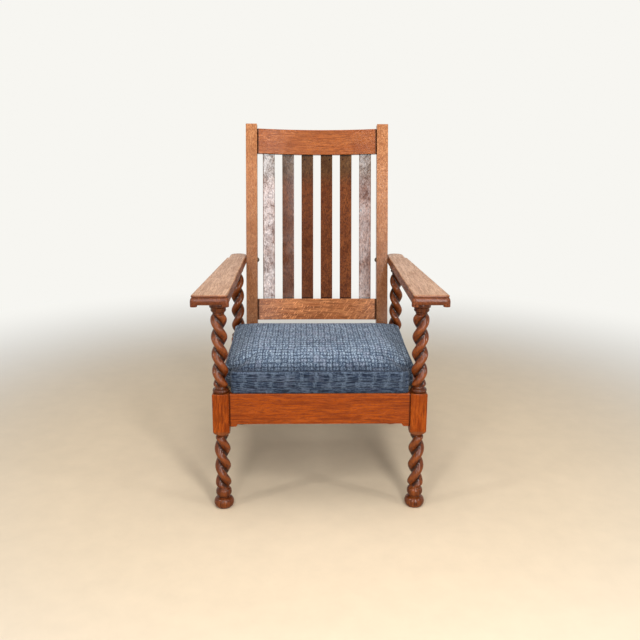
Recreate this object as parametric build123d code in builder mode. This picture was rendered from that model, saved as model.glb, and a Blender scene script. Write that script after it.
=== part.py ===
from build123d import *
import os
from math import asin, atan, cos, degrees, radians, sin, sqrt, tan

os.makedirs("parts", exist_ok=True)

# Lounge chair in oak: four twist-turned posts carry seat rails and two broad flat arms,
# a raked back of two square stiles, two bowed rails and six slats stands between the
# arms, and an upholstered seat drops in between the posts and lifts straight out.
#
# Millimetres. +Z is up and the front faces -Y. The origin lies on the floor, under the
# middle of the chair's outer box. Left is the -X side.

# Places of the posts and heights of the frame
post_spacing = 580.0          # across, between the axes of the posts
post_run = 594.0              # from the axes of the front posts to those of the rear ones
rail_top = 366.0              # tops of the seat rails and of the square blocks
arm_top = 666.0               # top faces of the arms

# Joinery
fit_gap = 0.2                 # clearance all round a tenon or shank in its hole
end_gap = 1.0                 # room past the end of a tenon
overrun = 2.0                 # how far cuts and hidden laps run past a face
ease = 1.5                    # softened arris of square timber

# Square blocks and turned parts of the posts
block_size = 48.0
block_height = 113.0
block_shoulder_height = 16.0  # turned shoulder under a front block
block_chamfer = 4.0           # bevel under a rear block
post_tenon_radius = 10.0
post_tenon_length = 22.0

bun_radius = 30.0             # ball foot
bun_sole_radius = 18.0
bun_neck_radius = 19.0
bun_height = 30.0
ankle_radius = 15.0
ankle_height = 6.0
foot_ring_radius = 23.6       # half-round ring above the ball
foot_ring_height = 24.0
foot_ring_root_radius = 19.0
collar_radius = 17.0          # small fillets where a twist begins or ends
collar_height = 5.0

base_ring_radius = 24.0       # half-round ring on top of a block
base_ring_root_radius = 20.5
base_ring_height = 12.5

capital_radius = 26.0         # disc under the arm
capital_disc_height = 11.5
capital_cove_height = 9.0
capital_ovolo_radius = 22.0
capital_ovolo_height = 7.0

# Two-strand twist
strand_radius = 14.9          # each strand is a round rope of this radius
strand_offset = 8.7           # and its centre winds this far off the axis
groove_radius = 3.0           # rounded bottom of the groove
twist_end_radius = 15.5
twist_runout = 12.0           # length over which the strands swell from the collar
upper_half_pitch = 51.0       # rise of half a turn between block and arm, front
lower_half_pitch = 55.0       # rise of half a turn below the seat
rear_half_pitch = 55.5        # rise of half a turn between block and arm, rear
upper_start_angle = -4.0      # direction of the strands at the foot of each twist
lower_start_angle = -56.0
rear_start_angle = 89.0

# Seat rails
rail_height = 94.0
rail_thickness = 22.0
rail_setback = 6.0            # front and side rails lie this far behind the block faces
rail_drop = 8.0               # the lower edge drops this much at each end
rail_drop_length = 26.0
rail_drop_curve = 8.0         # length of the curve down to the drop
rail_tenon_thickness = 9.0
rail_tenon_shoulder = 12.0
front_tenon_length = 22.0
side_tenon_length = 20.0

# Rear legs, which rake backwards under the rear blocks
rear_leg_rake_run = 68.0      # how far the foot stands behind the post's axis
rear_leg_sink = 5.0           # how far the ball is cut off by the floor
rear_leg_tenon_length = 18.0

# Raked back
back_inset = 34.0             # from the posts' axes in to the outer faces of the stiles
rake_angle = 12.2
stile_width = 40.0
stile_depth = 36.0            # measured level, front to back
stile_foot_length = 80.0      # upright foot below the tops of the seat rails
stile_length = 782.0          # raked part, along the stile
top_rail_height = 88.5
top_rail_drop = 16.0          # the stiles stand this far above the top rail
bottom_rail_height = 76.5
bottom_rail_rise = 77.0       # along the stile, from the seat rails' tops
back_rail_thickness = 20.0
back_rail_setback = 6.0       # behind the stiles' front faces
back_rail_bow = 24.0          # both rails curve backwards by this much
back_tenon_length = 24.0
back_tenon_thickness = 8.0
back_tenon_shoulder = 10.0

# Slats
slat_count = 6
slat_spread_share = 0.972     # share of the width between the stiles over which they spread
slat_width = 42.5
slat_thickness = 8.0
slat_entry = 14.0             # length let into each rail

# Arms
arm_thickness = 30.5
arm_plate_thickness = 5.5     # flat top, with a small step down to the nosing
arm_nosing = 3.5              # how far the rounded edge stands out past the top
arm_nosing_round = 8.0
arm_front_reach = 45.0        # top's front edge, ahead of the posts' axes
arm_front_overhang = 73.5     # top's outer corner at the front, outside the post's axis
arm_rear_overhang = 35.5      # the same at the rear
arm_shoulder_ahead = 21.5     # the outer edge ends this far ahead of the rear post's axis
arm_shoulder_step = 7.0       # small hollow behind that corner
arm_rear_reach = 73.0         # the round rear end's tip, behind the rear post's axis
arm_corner_radius = 5.0
arm_rear_softening = 3.0      # plan radius of the corners at the rear
arm_lip_depth = 4.0           # small lips under the front corners
arm_lip_width = 14.0

# Arm bolts and the threaded bushes that they screw into
bolt_radius = 4.0
bolt_head_radius = 9.0
bolt_head_height = 6.5
bolt_reach = 30.0             # length inside the arm
bush_radius = 7.0
bush_length = 20.0
bush_depth = 6.0              # the bush begins this far inside the arm

# Wood screws
screw_radius = 2.2
screw_head_radius = 4.4
screw_head_height = 3.0
screw_length = 38.0
screw_bite = 15.0             # length in the second piece
screw_margin = 22.0           # stile screws, from the ends of the foot

# Corner blocks behind the front rail
corner_block_leg = 60.0
corner_block_height = 40.0
corner_block_drop = 8.0
corner_screw_share = 0.5

# Lift-out seat
seat_rest_gap = 0.3           # cloth's clearance over the rails
seat_face_setback = 1.5       # behind the front rail's face
seat_post_gap = 4.0           # between the seat's tongue and the front blocks
seat_notch_gap = 6.0          # behind the front blocks
seat_front_overhang = 13.0    # the seat's sides, outside the inner faces of the blocks
seat_rear_overhang = 31.0     # the same at the rear
seat_stile_gap = 3.0
seat_corner_radius = 14.0
seat_notch_run = 44.0         # length of the curve out behind the front posts
seat_rear_corner_radius = 34.0
seat_side_draw = 5.0          # the long sides are drawn in by this much
seat_edge_height = 57.0       # side of the cushion, over the rails, at the corners
seat_crown = 36.0             # rise from the corners to the middle
seat_edge_round = 12.0
cover_thickness = 2.0
cloth_gap = 0.3
dust_cover_thickness = 1.0
seat_frame_thickness = 22.0
seat_frame_width = 48.0
web_width = 50.0
web_thickness = 1.6
web_count_across = 4
web_count_along = 5
web_spread_share = 0.78

# Places that follow from the sizes above
half_spacing = post_spacing / 2
half_block = block_size / 2
block_bottom = rail_top - block_height
arm_bottom = arm_top - arm_thickness
stile_outer = half_spacing - back_inset
stile_inner = stile_outer - stile_width
stile_thickness = stile_depth * cos(radians(rake_angle))
back_reach = back_rail_setback + back_rail_thickness + back_rail_bow
stile_front_run = post_run - half_block - stile_depth
back_run = (
    stile_front_run
    + (stile_length - top_rail_drop) * sin(radians(rake_angle))
    + back_reach * cos(radians(rake_angle))
)
front_run = arm_front_reach + arm_nosing
front_y = front_run - (front_run + back_run) / 2
rear_y = front_y + post_run
stile_front_y = front_y + stile_front_run
rail_face_y = front_y - half_block + rail_setback
rear_rail_y = rear_y - half_block
side_rail_outer = half_spacing + half_block - rail_setback
twist_radius = strand_radius + strand_offset

front_post_plane = Plane((half_spacing, front_y, 0))
rear_post_plane = Plane((half_spacing, rear_y, 0))
back_plane = Plane(
    origin=(0, stile_front_y, rail_top),
    x_dir=(1, 0, 0),
    z_dir=(0, sin(radians(rake_angle)), cos(radians(rake_angle))),
)


def hand_over(piece, label):
    """Names a finished piece and writes it."""
    piece.part.label = label
    export_step(piece.part, f"parts/{label}.step")


def hand_over_pair(piece, label):
    """Writes a right-hand piece, and its mirror image for the left."""
    hand_over(piece, f"{label}_right")
    with BuildPart() as left:
        mirror(piece.part, about=Plane.YZ)
    hand_over(left, f"{label}_left")


def lathe_plane(base):
    """The plane through a turning's axis: x is the radius, y runs up the axis."""
    return Plane(base.origin, x_dir=base.x_dir, z_dir=-base.y_dir)


def lathe_axis(base):
    return Axis(base.origin, base.z_dir)


def foot_profile(base):
    """Ball foot, ankle, half-round ring and collar, from the floor up."""
    ring_bottom = bun_height + ankle_height
    ring_top = ring_bottom + foot_ring_height
    collar_top = ring_top + collar_height
    with BuildSketch(lathe_plane(base)) as profile:
        with BuildLine():
            Line((0, 0), (bun_sole_radius, 0))
            ThreePointArc((bun_sole_radius, 0), (bun_radius, bun_height / 2), (bun_neck_radius, bun_height))
            Polyline(
                (bun_neck_radius, bun_height),
                (ankle_radius, bun_height),
                (ankle_radius, ring_bottom),
                (foot_ring_root_radius, ring_bottom),
            )
            ThreePointArc(
                (foot_ring_root_radius, ring_bottom),
                (foot_ring_radius, (ring_bottom + ring_top) / 2),
                (foot_ring_root_radius, ring_top),
            )
            Polyline(
                (foot_ring_root_radius, ring_top),
                (collar_radius, ring_top),
                (collar_radius, collar_top),
                (0, collar_top),
                (0, 0),
            )
        make_face()
    return profile.sketch


def collar_profile(base, bottom):
    """A small half-round collar that starts at the height bottom."""
    top = bottom + collar_height
    with BuildSketch(lathe_plane(base)) as profile:
        with BuildLine():
            Line((0, bottom), (twist_end_radius, bottom))
            ThreePointArc(
                (twist_end_radius, bottom), (collar_radius, (bottom + top) / 2), (twist_end_radius, top)
            )
            Polyline((twist_end_radius, top), (0, top), (0, bottom))
        make_face()
    return profile.sketch


def base_ring_profile(base, bottom):
    """Half-round ring on a block, with the collar from which the twist rises."""
    ring_top = bottom + base_ring_height
    collar_top = ring_top + collar_height
    with BuildSketch(lathe_plane(base)) as profile:
        with BuildLine():
            Line((0, bottom), (base_ring_root_radius, bottom))
            ThreePointArc(
                (base_ring_root_radius, bottom),
                (base_ring_radius, (bottom + ring_top) / 2),
                (base_ring_root_radius, ring_top),
            )
            Polyline(
                (base_ring_root_radius, ring_top),
                (collar_radius, ring_top),
                (collar_radius, collar_top),
                (0, collar_top),
                (0, bottom),
            )
        make_face()
    return profile.sketch


def capital_profile(base):
    """Collar, ovolo, cove and disc under the arm, with the round tenon above."""
    disc_bottom = arm_bottom - capital_disc_height
    cove_bottom = disc_bottom - capital_cove_height
    ovolo_bottom = cove_bottom - capital_ovolo_height
    collar_bottom = ovolo_bottom - collar_height
    cove_middle_radius = (capital_ovolo_radius + capital_radius) / 2 - ease / 2
    ovolo_middle_radius = (collar_radius + capital_ovolo_radius) / 2 + ease / 2
    with BuildSketch(lathe_plane(base)) as profile:
        with BuildLine():
            Line((0, collar_bottom), (twist_end_radius, collar_bottom))
            ThreePointArc(
                (twist_end_radius, collar_bottom),
                (collar_radius, (collar_bottom + ovolo_bottom) / 2),
                (twist_end_radius, ovolo_bottom),
            )
            Line((twist_end_radius, ovolo_bottom), (collar_radius, ovolo_bottom))
            ThreePointArc(
                (collar_radius, ovolo_bottom),
                (ovolo_middle_radius, (ovolo_bottom + cove_bottom) / 2),
                (capital_ovolo_radius, cove_bottom),
            )
            ThreePointArc(
                (capital_ovolo_radius, cove_bottom),
                (cove_middle_radius, (cove_bottom + disc_bottom) / 2),
                (capital_radius, disc_bottom),
            )
            Polyline(
                (capital_radius, disc_bottom),
                (capital_radius, arm_bottom),
                (post_tenon_radius, arm_bottom),
                (post_tenon_radius, arm_bottom + post_tenon_length),
                (0, arm_bottom + post_tenon_length),
                (0, collar_bottom),
            )
        make_face()
    return profile.sketch


def twist(base, collar_top, collar_bottom, half_pitch, start_angle, left_handed=False):
    """Two round strands wound about the axis, from the collar below to the one above.

    A two-lobed section rises along the axis and turns by half a turn for each half pitch.
    The result is cut to a spindle that is thin at both ends, which lie inside the collars.
    """
    bottom = collar_top - overrun
    top = collar_bottom + overrun
    length = top - bottom
    foot = base.offset(bottom)
    groove_middle = sqrt((strand_radius + groove_radius) ** 2 - strand_offset**2)
    touch_share = strand_radius / (strand_radius + groove_radius)
    touch = (strand_offset * (1 - touch_share), groove_middle * touch_share)
    with BuildSketch(foot.rotated((0, 0, start_angle))) as section:
        with BuildLine():
            ThreePointArc((touch[0], -touch[1]), (twist_radius, 0), touch)
            ThreePointArc(touch, (0, groove_middle - groove_radius), (-touch[0], touch[1]))
            ThreePointArc((-touch[0], touch[1]), (-twist_radius, 0), (-touch[0], -touch[1]))
            ThreePointArc((-touch[0], -touch[1]), (0, groove_radius - groove_middle), (touch[0], -touch[1]))
        make_face()
    with BuildLine(foot) as path:
        Line((0, 0, 0), (0, 0, length))
    guide = Helix(
        pitch=2 * half_pitch,
        height=length,
        radius=twist_radius,
        center=foot.origin,
        direction=base.z_dir,
        lefthand=left_handed,
        mode=Mode.PRIVATE,
    )
    clear_radius = twist_radius + overrun
    with BuildSketch(lathe_plane(base)) as spindle:
        with BuildLine():
            Line((0, bottom), (twist_end_radius, bottom))
            ThreePointArc(
                (twist_end_radius, bottom),
                (twist_radius - ease, bottom + twist_runout / 2),
                (clear_radius, bottom + twist_runout),
            )
            Line((clear_radius, bottom + twist_runout), (clear_radius, top - twist_runout))
            ThreePointArc(
                (clear_radius, top - twist_runout),
                (twist_radius - ease, top - twist_runout / 2),
                (twist_end_radius, top),
            )
            Polyline((twist_end_radius, top), (0, top), (0, bottom))
        make_face()
    with BuildPart() as strands:
        sweep(section.sketch, path=path.wires()[0], binormal=guide.edges()[0])
        revolve(spindle.sketch, axis=lathe_axis(base), mode=Mode.INTERSECT)
    return strands.part


def tenon_hole(plane, width, height, depth):
    """A mortise, cut from plane along its normal with clearance on every side."""
    with BuildSketch(plane) as mouth:
        Rectangle(width + 2 * fit_gap, height + 2 * fit_gap)
    extrude(mouth.sketch, amount=depth + end_gap, mode=Mode.SUBTRACT)


# Heights shared by the rails' tenons and the mortises in the blocks
rail_end_bottom = rail_top - rail_height - rail_drop
tenon_height = rail_top - rail_end_bottom - 2 * rail_tenon_shoulder
tenon_middle = (rail_top + rail_end_bottom) / 2
rail_middle_y = rail_face_y + rail_thickness / 2
rear_rail_middle_y = rear_rail_y + rail_thickness / 2
side_rail_middle = side_rail_outer - rail_thickness / 2
block_inner = half_spacing - half_block
front_block_back = front_y + half_block

front_mortise_plane = Plane((block_inner, rail_middle_y, tenon_middle), x_dir=(0, 1, 0), z_dir=(1, 0, 0))
rear_mortise_plane = Plane((block_inner, rear_rail_middle_y, tenon_middle), x_dir=(0, 1, 0), z_dir=(1, 0, 0))
side_front_mortise_plane = Plane(
    (side_rail_middle, front_block_back, tenon_middle), x_dir=(1, 0, 0), z_dir=(0, -1, 0)
)
side_rear_mortise_plane = Plane(
    (side_rail_middle, rear_rail_y, tenon_middle), x_dir=(1, 0, 0), z_dir=(0, 1, 0)
)

# Front posts, each one turning from the floor to the arm
foot_top = bun_height + ankle_height + foot_ring_height + collar_height
shoulder_bottom = block_bottom - block_shoulder_height
knee_bottom = shoulder_bottom - collar_height
base_ring_top = rail_top + base_ring_height + collar_height
capital_bottom = (
    arm_bottom - capital_disc_height - capital_cove_height - capital_ovolo_height - collar_height
)

with BuildPart() as front_post:
    revolve(foot_profile(front_post_plane), axis=lathe_axis(front_post_plane))
    add(twist(front_post_plane, foot_top, knee_bottom, lower_half_pitch, lower_start_angle))
    revolve(collar_profile(front_post_plane, knee_bottom), axis=lathe_axis(front_post_plane))
    with BuildPart(mode=Mode.PRIVATE) as block:
        with BuildSketch(front_post_plane.offset(shoulder_bottom)):
            Rectangle(block_size, block_size)
        extrude(amount=rail_top - shoulder_bottom)
        with BuildSketch(lathe_plane(front_post_plane)):
            with BuildLine():
                Line((0, shoulder_bottom), (collar_radius, shoulder_bottom))
                ThreePointArc(
                    (collar_radius, shoulder_bottom),
                    (half_block, shoulder_bottom + block_shoulder_height / 2),
                    (block_size * sqrt(2) / 2 + overrun, block_bottom + collar_height),
                )
                Polyline(
                    (block_size * sqrt(2) / 2 + overrun, block_bottom + collar_height),
                    (block_size * sqrt(2) / 2 + overrun, rail_top),
                    (0, rail_top),
                    (0, shoulder_bottom),
                )
            make_face()
        revolve(axis=lathe_axis(front_post_plane), mode=Mode.INTERSECT)
    add(block.part)
    revolve(base_ring_profile(front_post_plane, rail_top), axis=lathe_axis(front_post_plane))
    add(twist(front_post_plane, base_ring_top, capital_bottom, upper_half_pitch, upper_start_angle))
    revolve(capital_profile(front_post_plane), axis=lathe_axis(front_post_plane))
    tenon_hole(front_mortise_plane, rail_tenon_thickness, tenon_height, front_tenon_length)
    tenon_hole(side_front_mortise_plane, rail_tenon_thickness, tenon_height, side_tenon_length)
hand_over_pair(front_post, "front_post")

# Rear posts: block, twist and capital, with a slanting hole for the raked leg
rear_leg_angle = degrees(atan(rear_leg_rake_run / block_bottom))
rear_leg_direction = Vector(0, -rear_leg_rake_run, block_bottom).normalized()
rear_leg_base = Plane(
    origin=Vector(half_spacing, rear_y + rear_leg_rake_run, 0) - rear_leg_direction * rear_leg_sink,
    x_dir=(1, 0, 0),
    z_dir=rear_leg_direction,
)
rear_leg_length = sqrt(block_bottom**2 + rear_leg_rake_run**2) + rear_leg_sink

with BuildPart() as rear_post:
    with BuildSketch(rear_post_plane.offset(block_bottom)):
        Rectangle(block_size, block_size)
    extrude(amount=block_height)
    chamfer(rear_post.faces().sort_by(Axis.Z)[0].edges(), block_chamfer)
    revolve(base_ring_profile(rear_post_plane, rail_top), axis=lathe_axis(rear_post_plane))
    add(twist(rear_post_plane, base_ring_top, capital_bottom, rear_half_pitch, rear_start_angle, True))
    revolve(capital_profile(rear_post_plane), axis=lathe_axis(rear_post_plane))
    tenon_hole(rear_mortise_plane, rail_tenon_thickness, tenon_height, front_tenon_length)
    tenon_hole(side_rear_mortise_plane, rail_tenon_thickness, tenon_height, side_tenon_length)
    with BuildSketch(rear_leg_base.offset(rear_leg_length - block_chamfer - collar_radius)):
        Circle(post_tenon_radius + fit_gap)
    extrude(amount=block_chamfer + collar_radius + rear_leg_tenon_length + end_gap, mode=Mode.SUBTRACT)
hand_over_pair(rear_post, "rear_post")

# Rear legs, turned apart from the posts and let into the blocks on the slant
with BuildPart() as rear_leg:
    revolve(foot_profile(rear_leg_base), axis=lathe_axis(rear_leg_base))
    rear_knee_bottom = rear_leg_length - block_shoulder_height - collar_height
    add(twist(rear_leg_base, foot_top, rear_knee_bottom, lower_half_pitch, -lower_start_angle, True))
    revolve(collar_profile(rear_leg_base, rear_knee_bottom), axis=lathe_axis(rear_leg_base))
    with BuildSketch(rear_leg_base.offset(rear_knee_bottom + collar_height)):
        Circle(collar_radius)
    extrude(amount=block_shoulder_height + collar_radius)
    split(bisect_by=Plane.XY, keep=Keep.TOP)
    split(bisect_by=Plane.XY.offset(block_bottom), keep=Keep.BOTTOM)
    with BuildSketch(rear_leg_base.offset(rear_knee_bottom + collar_height)):
        Circle(post_tenon_radius)
    extrude(amount=block_shoulder_height + rear_leg_tenon_length)
hand_over_pair(rear_leg, "rear_leg")


def rail_outline(plane, length):
    """Face of a seat rail: level top, and a lower edge that curves down at each end."""
    half = length / 2
    bottom = rail_top - rail_height
    low = bottom - rail_drop
    bend_start = half - rail_drop_length
    bend_end = bend_start + rail_drop_curve
    with BuildSketch(plane) as outline:
        with BuildLine():
            Line((-half, rail_top), (half, rail_top))
            Line((half, rail_top), (half, low))
            Line((half, low), (bend_end, low))
            Spline((bend_end, low), (bend_start, bottom), tangents=((-1, 0), (-1, 0)))
            Line((bend_start, bottom), (-bend_start, bottom))
            Spline((-bend_start, bottom), (-bend_end, low), tangents=((-1, 0), (-1, 0)))
            Line((-bend_end, low), (-half, low))
            Line((-half, low), (-half, rail_top))
        make_face()
    return outline.sketch


def tenon(plane, width, height, length):
    """A tenon that stands on plane and points along its normal."""
    with BuildSketch(plane) as cheek:
        Rectangle(width, height)
    extrude(cheek.sketch, amount=length)


# Screws: where they pass and how they are cut
def screw_hole(plane):
    """Clearance for a screw whose head is sunk to plane, which points along the screw."""
    with BuildSketch(plane) as shank:
        Circle(screw_radius + fit_gap)
    extrude(shank.sketch, amount=screw_length + end_gap, mode=Mode.SUBTRACT)
    with BuildSketch(plane) as head:
        Circle(screw_head_radius + fit_gap)
    extrude(head.sketch, amount=screw_head_height + fit_gap, mode=Mode.SUBTRACT)
    extrude(head.sketch, amount=-screw_length, mode=Mode.SUBTRACT)


def screw(plane):
    """A countersunk wood screw, head on plane and tip along the normal."""
    tip_height = 2 * screw_radius
    with BuildSketch(lathe_plane(plane)) as half:
        with BuildLine():
            Polyline(
                (0, 0),
                (screw_head_radius, 0),
                (screw_radius, screw_head_height),
                (screw_radius, screw_length - tip_height),
                (0, screw_length),
                (0, 0),
            )
        make_face()
    revolve(half.sketch, axis=lathe_axis(plane))


stile_middle = stile_inner + stile_width / 2
stile_screw_head_y = rear_rail_y + screw_bite - screw_length
stile_screw_planes = [
    Plane((side * stile_middle, stile_screw_head_y, height), x_dir=(1, 0, 0), z_dir=(0, 1, 0))
    for side in (1, -1)
    for height in (rail_top - screw_margin, rail_top - stile_foot_length + screw_margin)
]

corner_front_y = rail_face_y + rail_thickness
corner_side = side_rail_outer - rail_thickness
corner_height = rail_top - corner_block_drop - corner_block_height / 2
corner_front_screw_x = block_inner - corner_block_leg * corner_screw_share
corner_side_screw_y = front_block_back + corner_block_leg * corner_screw_share
corner_front_head_y = corner_front_y - screw_bite + screw_length
corner_side_head_x = corner_side + screw_bite - screw_length
corner_screw_planes = []
for side in (1, -1):
    head = (side * corner_front_screw_x, corner_front_head_y, corner_height)
    corner_screw_planes.append(Plane(head, x_dir=(1, 0, 0), z_dir=(0, -1, 0)))
for side in (1, -1):
    head = (side * corner_side_head_x, corner_side_screw_y, corner_height)
    corner_screw_planes.append(Plane(head, x_dir=(0, 1, 0), z_dir=(side, 0, 0)))

# Front rail
front_face_plane = Plane((0, rail_face_y, 0), x_dir=(1, 0, 0), z_dir=(0, -1, 0))
with BuildPart() as front_rail:
    extrude(rail_outline(front_face_plane, 2 * block_inner), amount=-rail_thickness)
    for side in (1, -1):
        end = (side * block_inner, rail_middle_y, tenon_middle)
        end_plane = Plane(end, x_dir=(0, 1, 0), z_dir=(side, 0, 0))
        tenon(end_plane, rail_tenon_thickness, tenon_height, front_tenon_length)
    for plane in corner_screw_planes[:2]:
        screw_hole(plane)
hand_over(front_rail, "front_rail")

# Side rails
side_rail_length = rear_rail_y - front_block_back
side_rail_center_y = (rear_rail_y + front_block_back) / 2
side_face_plane = Plane((side_rail_outer, side_rail_center_y, 0), x_dir=(0, 1, 0), z_dir=(1, 0, 0))
with BuildPart() as side_rail:
    extrude(rail_outline(side_face_plane, side_rail_length), amount=-rail_thickness)
    tenon(side_front_mortise_plane, rail_tenon_thickness, tenon_height, side_tenon_length)
    tenon(side_rear_mortise_plane, rail_tenon_thickness, tenon_height, side_tenon_length)
    screw_hole(corner_screw_planes[2])
hand_over_pair(side_rail, "side_rail")

# Rear rail, flush with the front faces of the rear blocks, where the stiles' feet lie on it
with BuildPart() as rear_rail:
    with BuildSketch(Plane.XZ.offset(-rear_rail_y)):
        with Locations((0, rail_top)):
            Rectangle(2 * block_inner, rail_height + rail_drop, align=(Align.CENTER, Align.MAX))
    extrude(amount=-rail_thickness)
    for side in (1, -1):
        end = (side * block_inner, rear_rail_middle_y, tenon_middle)
        end_plane = Plane(end, x_dir=(0, 1, 0), z_dir=(side, 0, 0))
        tenon(end_plane, rail_tenon_thickness, tenon_height, front_tenon_length)
    for plane in stile_screw_planes:
        screw_hole(plane)
hand_over(rear_rail, "rear_rail")

# Corner blocks, notched round the front posts
with BuildPart() as corner_block:
    with BuildSketch(Plane.XY.offset(rail_top - corner_block_drop - corner_block_height)):
        with BuildLine():
            Polyline(
                (block_inner - corner_block_leg, corner_front_y),
                (block_inner, corner_front_y),
                (block_inner, front_block_back),
                (corner_side, front_block_back),
                (corner_side, front_block_back + corner_block_leg),
                close=True,
            )
        make_face()
    extrude(amount=corner_block_height)
    screw_hole(corner_screw_planes[0])
    screw_hole(corner_screw_planes[2])
hand_over_pair(corner_block, "corner_block")

with BuildPart() as corner_block_screws:
    for plane in corner_screw_planes:
        screw(plane)
hand_over(corner_block_screws, "corner_block_screws")

with BuildPart() as stile_foot_screws:
    for plane in stile_screw_planes:
        screw(plane)
hand_over(stile_foot_screws, "stile_foot_screws")

# Rails of the back, bowed backwards
bottom_rail_top = bottom_rail_rise + bottom_rail_height
top_rail_bottom = stile_length - top_rail_drop - top_rail_height
bow_radius = (stile_inner**2 + back_rail_bow**2) / (2 * back_rail_bow)
rail_mid_depth = back_rail_setback + back_rail_thickness / 2


def bow_depth(x):
    """Depth of the rails' middle line behind the stiles' front faces, at x across."""
    return rail_mid_depth + back_rail_bow - (bow_radius - sqrt(bow_radius**2 - x**2))


def slat_plane(x, height):
    """Square to the back at x across, and turned to follow the bow."""
    turn = -degrees(asin(x / bow_radius))
    foot = back_plane.offset(height).location * Location((x, bow_depth(x), 0), (0, 0, turn))
    return Plane(foot)


slat_pitch = 2 * stile_inner * slat_spread_share / slat_count
slat_places = [(index - (slat_count - 1) / 2) * slat_pitch for index in range(slat_count)]


def back_rail(bottom, height, slot_bottom):
    """A bowed rail with straight tenons and a slot for the end of each slat."""
    depth = back_rail_setback + back_rail_thickness
    with BuildPart() as rail:
        with BuildSketch(back_plane.offset(bottom)):
            with BuildLine():
                ThreePointArc(
                    (-stile_inner, back_rail_setback),
                    (0, back_rail_setback + back_rail_bow),
                    (stile_inner, back_rail_setback),
                )
                Line((stile_inner, back_rail_setback), (stile_inner, depth))
                ThreePointArc((stile_inner, depth), (0, depth + back_rail_bow), (-stile_inner, depth))
                Line((-stile_inner, depth), (-stile_inner, back_rail_setback))
            make_face()
        extrude(amount=height)
        with BuildSketch(back_plane.offset(bottom + back_tenon_shoulder)):
            with Locations((stile_inner, rail_mid_depth), (-stile_inner, rail_mid_depth)):
                Rectangle(2 * back_tenon_length, back_tenon_thickness)
        extrude(amount=height - 2 * back_tenon_shoulder)
        for x in slat_places:
            with BuildSketch(slat_plane(x, slot_bottom)):
                Rectangle(slat_width + 2 * fit_gap, slat_thickness + 2 * fit_gap)
            extrude(amount=slat_entry + end_gap, mode=Mode.SUBTRACT)
    return rail


top_rail = back_rail(top_rail_bottom, top_rail_height, top_rail_bottom)
hand_over(top_rail, "top_rail")
bottom_rail = back_rail(bottom_rail_rise, bottom_rail_height, bottom_rail_top - slat_entry - end_gap)
hand_over(bottom_rail, "bottom_rail")

# Slats, numbered from the left
for number, x in enumerate(slat_places, start=1):
    with BuildPart() as slat:
        with BuildSketch(slat_plane(x, bottom_rail_top - slat_entry)):
            RectangleRounded(slat_width, slat_thickness, ease)
        extrude(amount=top_rail_bottom - bottom_rail_top + 2 * slat_entry)
    hand_over(slat, f"slat_{number}")

# Stiles: an upright foot on the rear rail, then the raked length up past the top rail
rake = radians(rake_angle)
stile_top_front = (stile_front_y + stile_length * sin(rake), rail_top + stile_length * cos(rake))
stile_top_back = (
    stile_top_front[0] + stile_thickness * cos(rake),
    stile_top_front[1] - stile_thickness * sin(rake),
)
bolt_height = (arm_top + arm_bottom) / 2
bolt_y = stile_front_y + (bolt_height - rail_top) * tan(rake) + stile_depth / 2


def stile_side(plane):
    """Side of a stile: y runs backwards and z up."""
    foot = rail_top - stile_foot_length
    with BuildSketch(plane) as side:
        with BuildLine():
            Polyline(
                (stile_front_y, foot),
                (stile_front_y, rail_top),
                stile_top_front,
                stile_top_back,
                (stile_front_y + stile_depth, rail_top),
                (stile_front_y + stile_depth, foot),
                close=True,
            )
        make_face()
    return side.sketch


with BuildPart() as stile:
    extrude(stile_side(Plane.YZ.offset(stile_inner)), amount=stile_width)
    chamfer(stile.faces().sort_by(Axis.Z)[-1].edges(), ease)
    for bottom, height in ((bottom_rail_rise, bottom_rail_height), (top_rail_bottom, top_rail_height)):
        mortise_plane = Plane(
            back_plane.from_local_coords(Vector(stile_inner, rail_mid_depth, bottom + height / 2)),
            x_dir=back_plane.y_dir,
            z_dir=(1, 0, 0),
        )
        tenon_hole(mortise_plane, back_tenon_thickness, height - 2 * back_tenon_shoulder, back_tenon_length)
    with BuildSketch(Plane.YZ.offset(stile_inner)):
        with Locations((bolt_y, bolt_height)):
            Circle(bolt_radius + fit_gap)
    extrude(amount=stile_width, mode=Mode.SUBTRACT)
    for plane in stile_screw_planes[:2]:
        screw_hole(plane)
hand_over_pair(stile, "stile")


def arm_outline(plane, margin):
    """Plan of the right arm, grown by margin all round.

    The inner edge runs straight back past the stile, the outer edge draws in towards the
    rear, and the rear end is a small hollow and a round.
    """
    front = front_y - arm_front_reach - margin
    inner = stile_outer - margin
    slant = (arm_front_overhang - arm_rear_overhang) / (arm_front_reach + post_run - arm_shoulder_ahead)
    outer_front = half_spacing + arm_front_overhang + margin + slant * margin
    shoulder = (half_spacing + arm_rear_overhang + margin, rear_y - arm_shoulder_ahead)
    hollow = (shoulder[0] - arm_shoulder_step, shoulder[1] + arm_shoulder_step)
    quarter = arm_shoulder_step * sqrt(1 / 2)
    hollow_middle = (shoulder[0] - quarter, hollow[1] - quarter)
    end_radius = (hollow[0] - inner) / 2
    end_middle_y = rear_y + arm_rear_reach + margin - end_radius
    with BuildSketch(plane) as outline:
        with BuildLine():
            Line((inner, end_middle_y), (inner, front))
            Line((inner, front), (outer_front, front))
            Line((outer_front, front), shoulder)
            ThreePointArc(shoulder, hollow_middle, hollow)
            Line(hollow, (hollow[0], end_middle_y))
            ThreePointArc(
                (hollow[0], end_middle_y),
                (inner + end_radius, end_middle_y + end_radius),
                (inner, end_middle_y),
            )
        make_face()
        fillet(outline.vertices().group_by(Axis.Y)[0], arm_corner_radius + margin)
        shoulder_corners = outline.vertices().filter_by(lambda v: abs(v.X - shoulder[0]) < ease and v.Y > 0)
        fillet(shoulder_corners, arm_rear_softening)
    return outline.sketch


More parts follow.
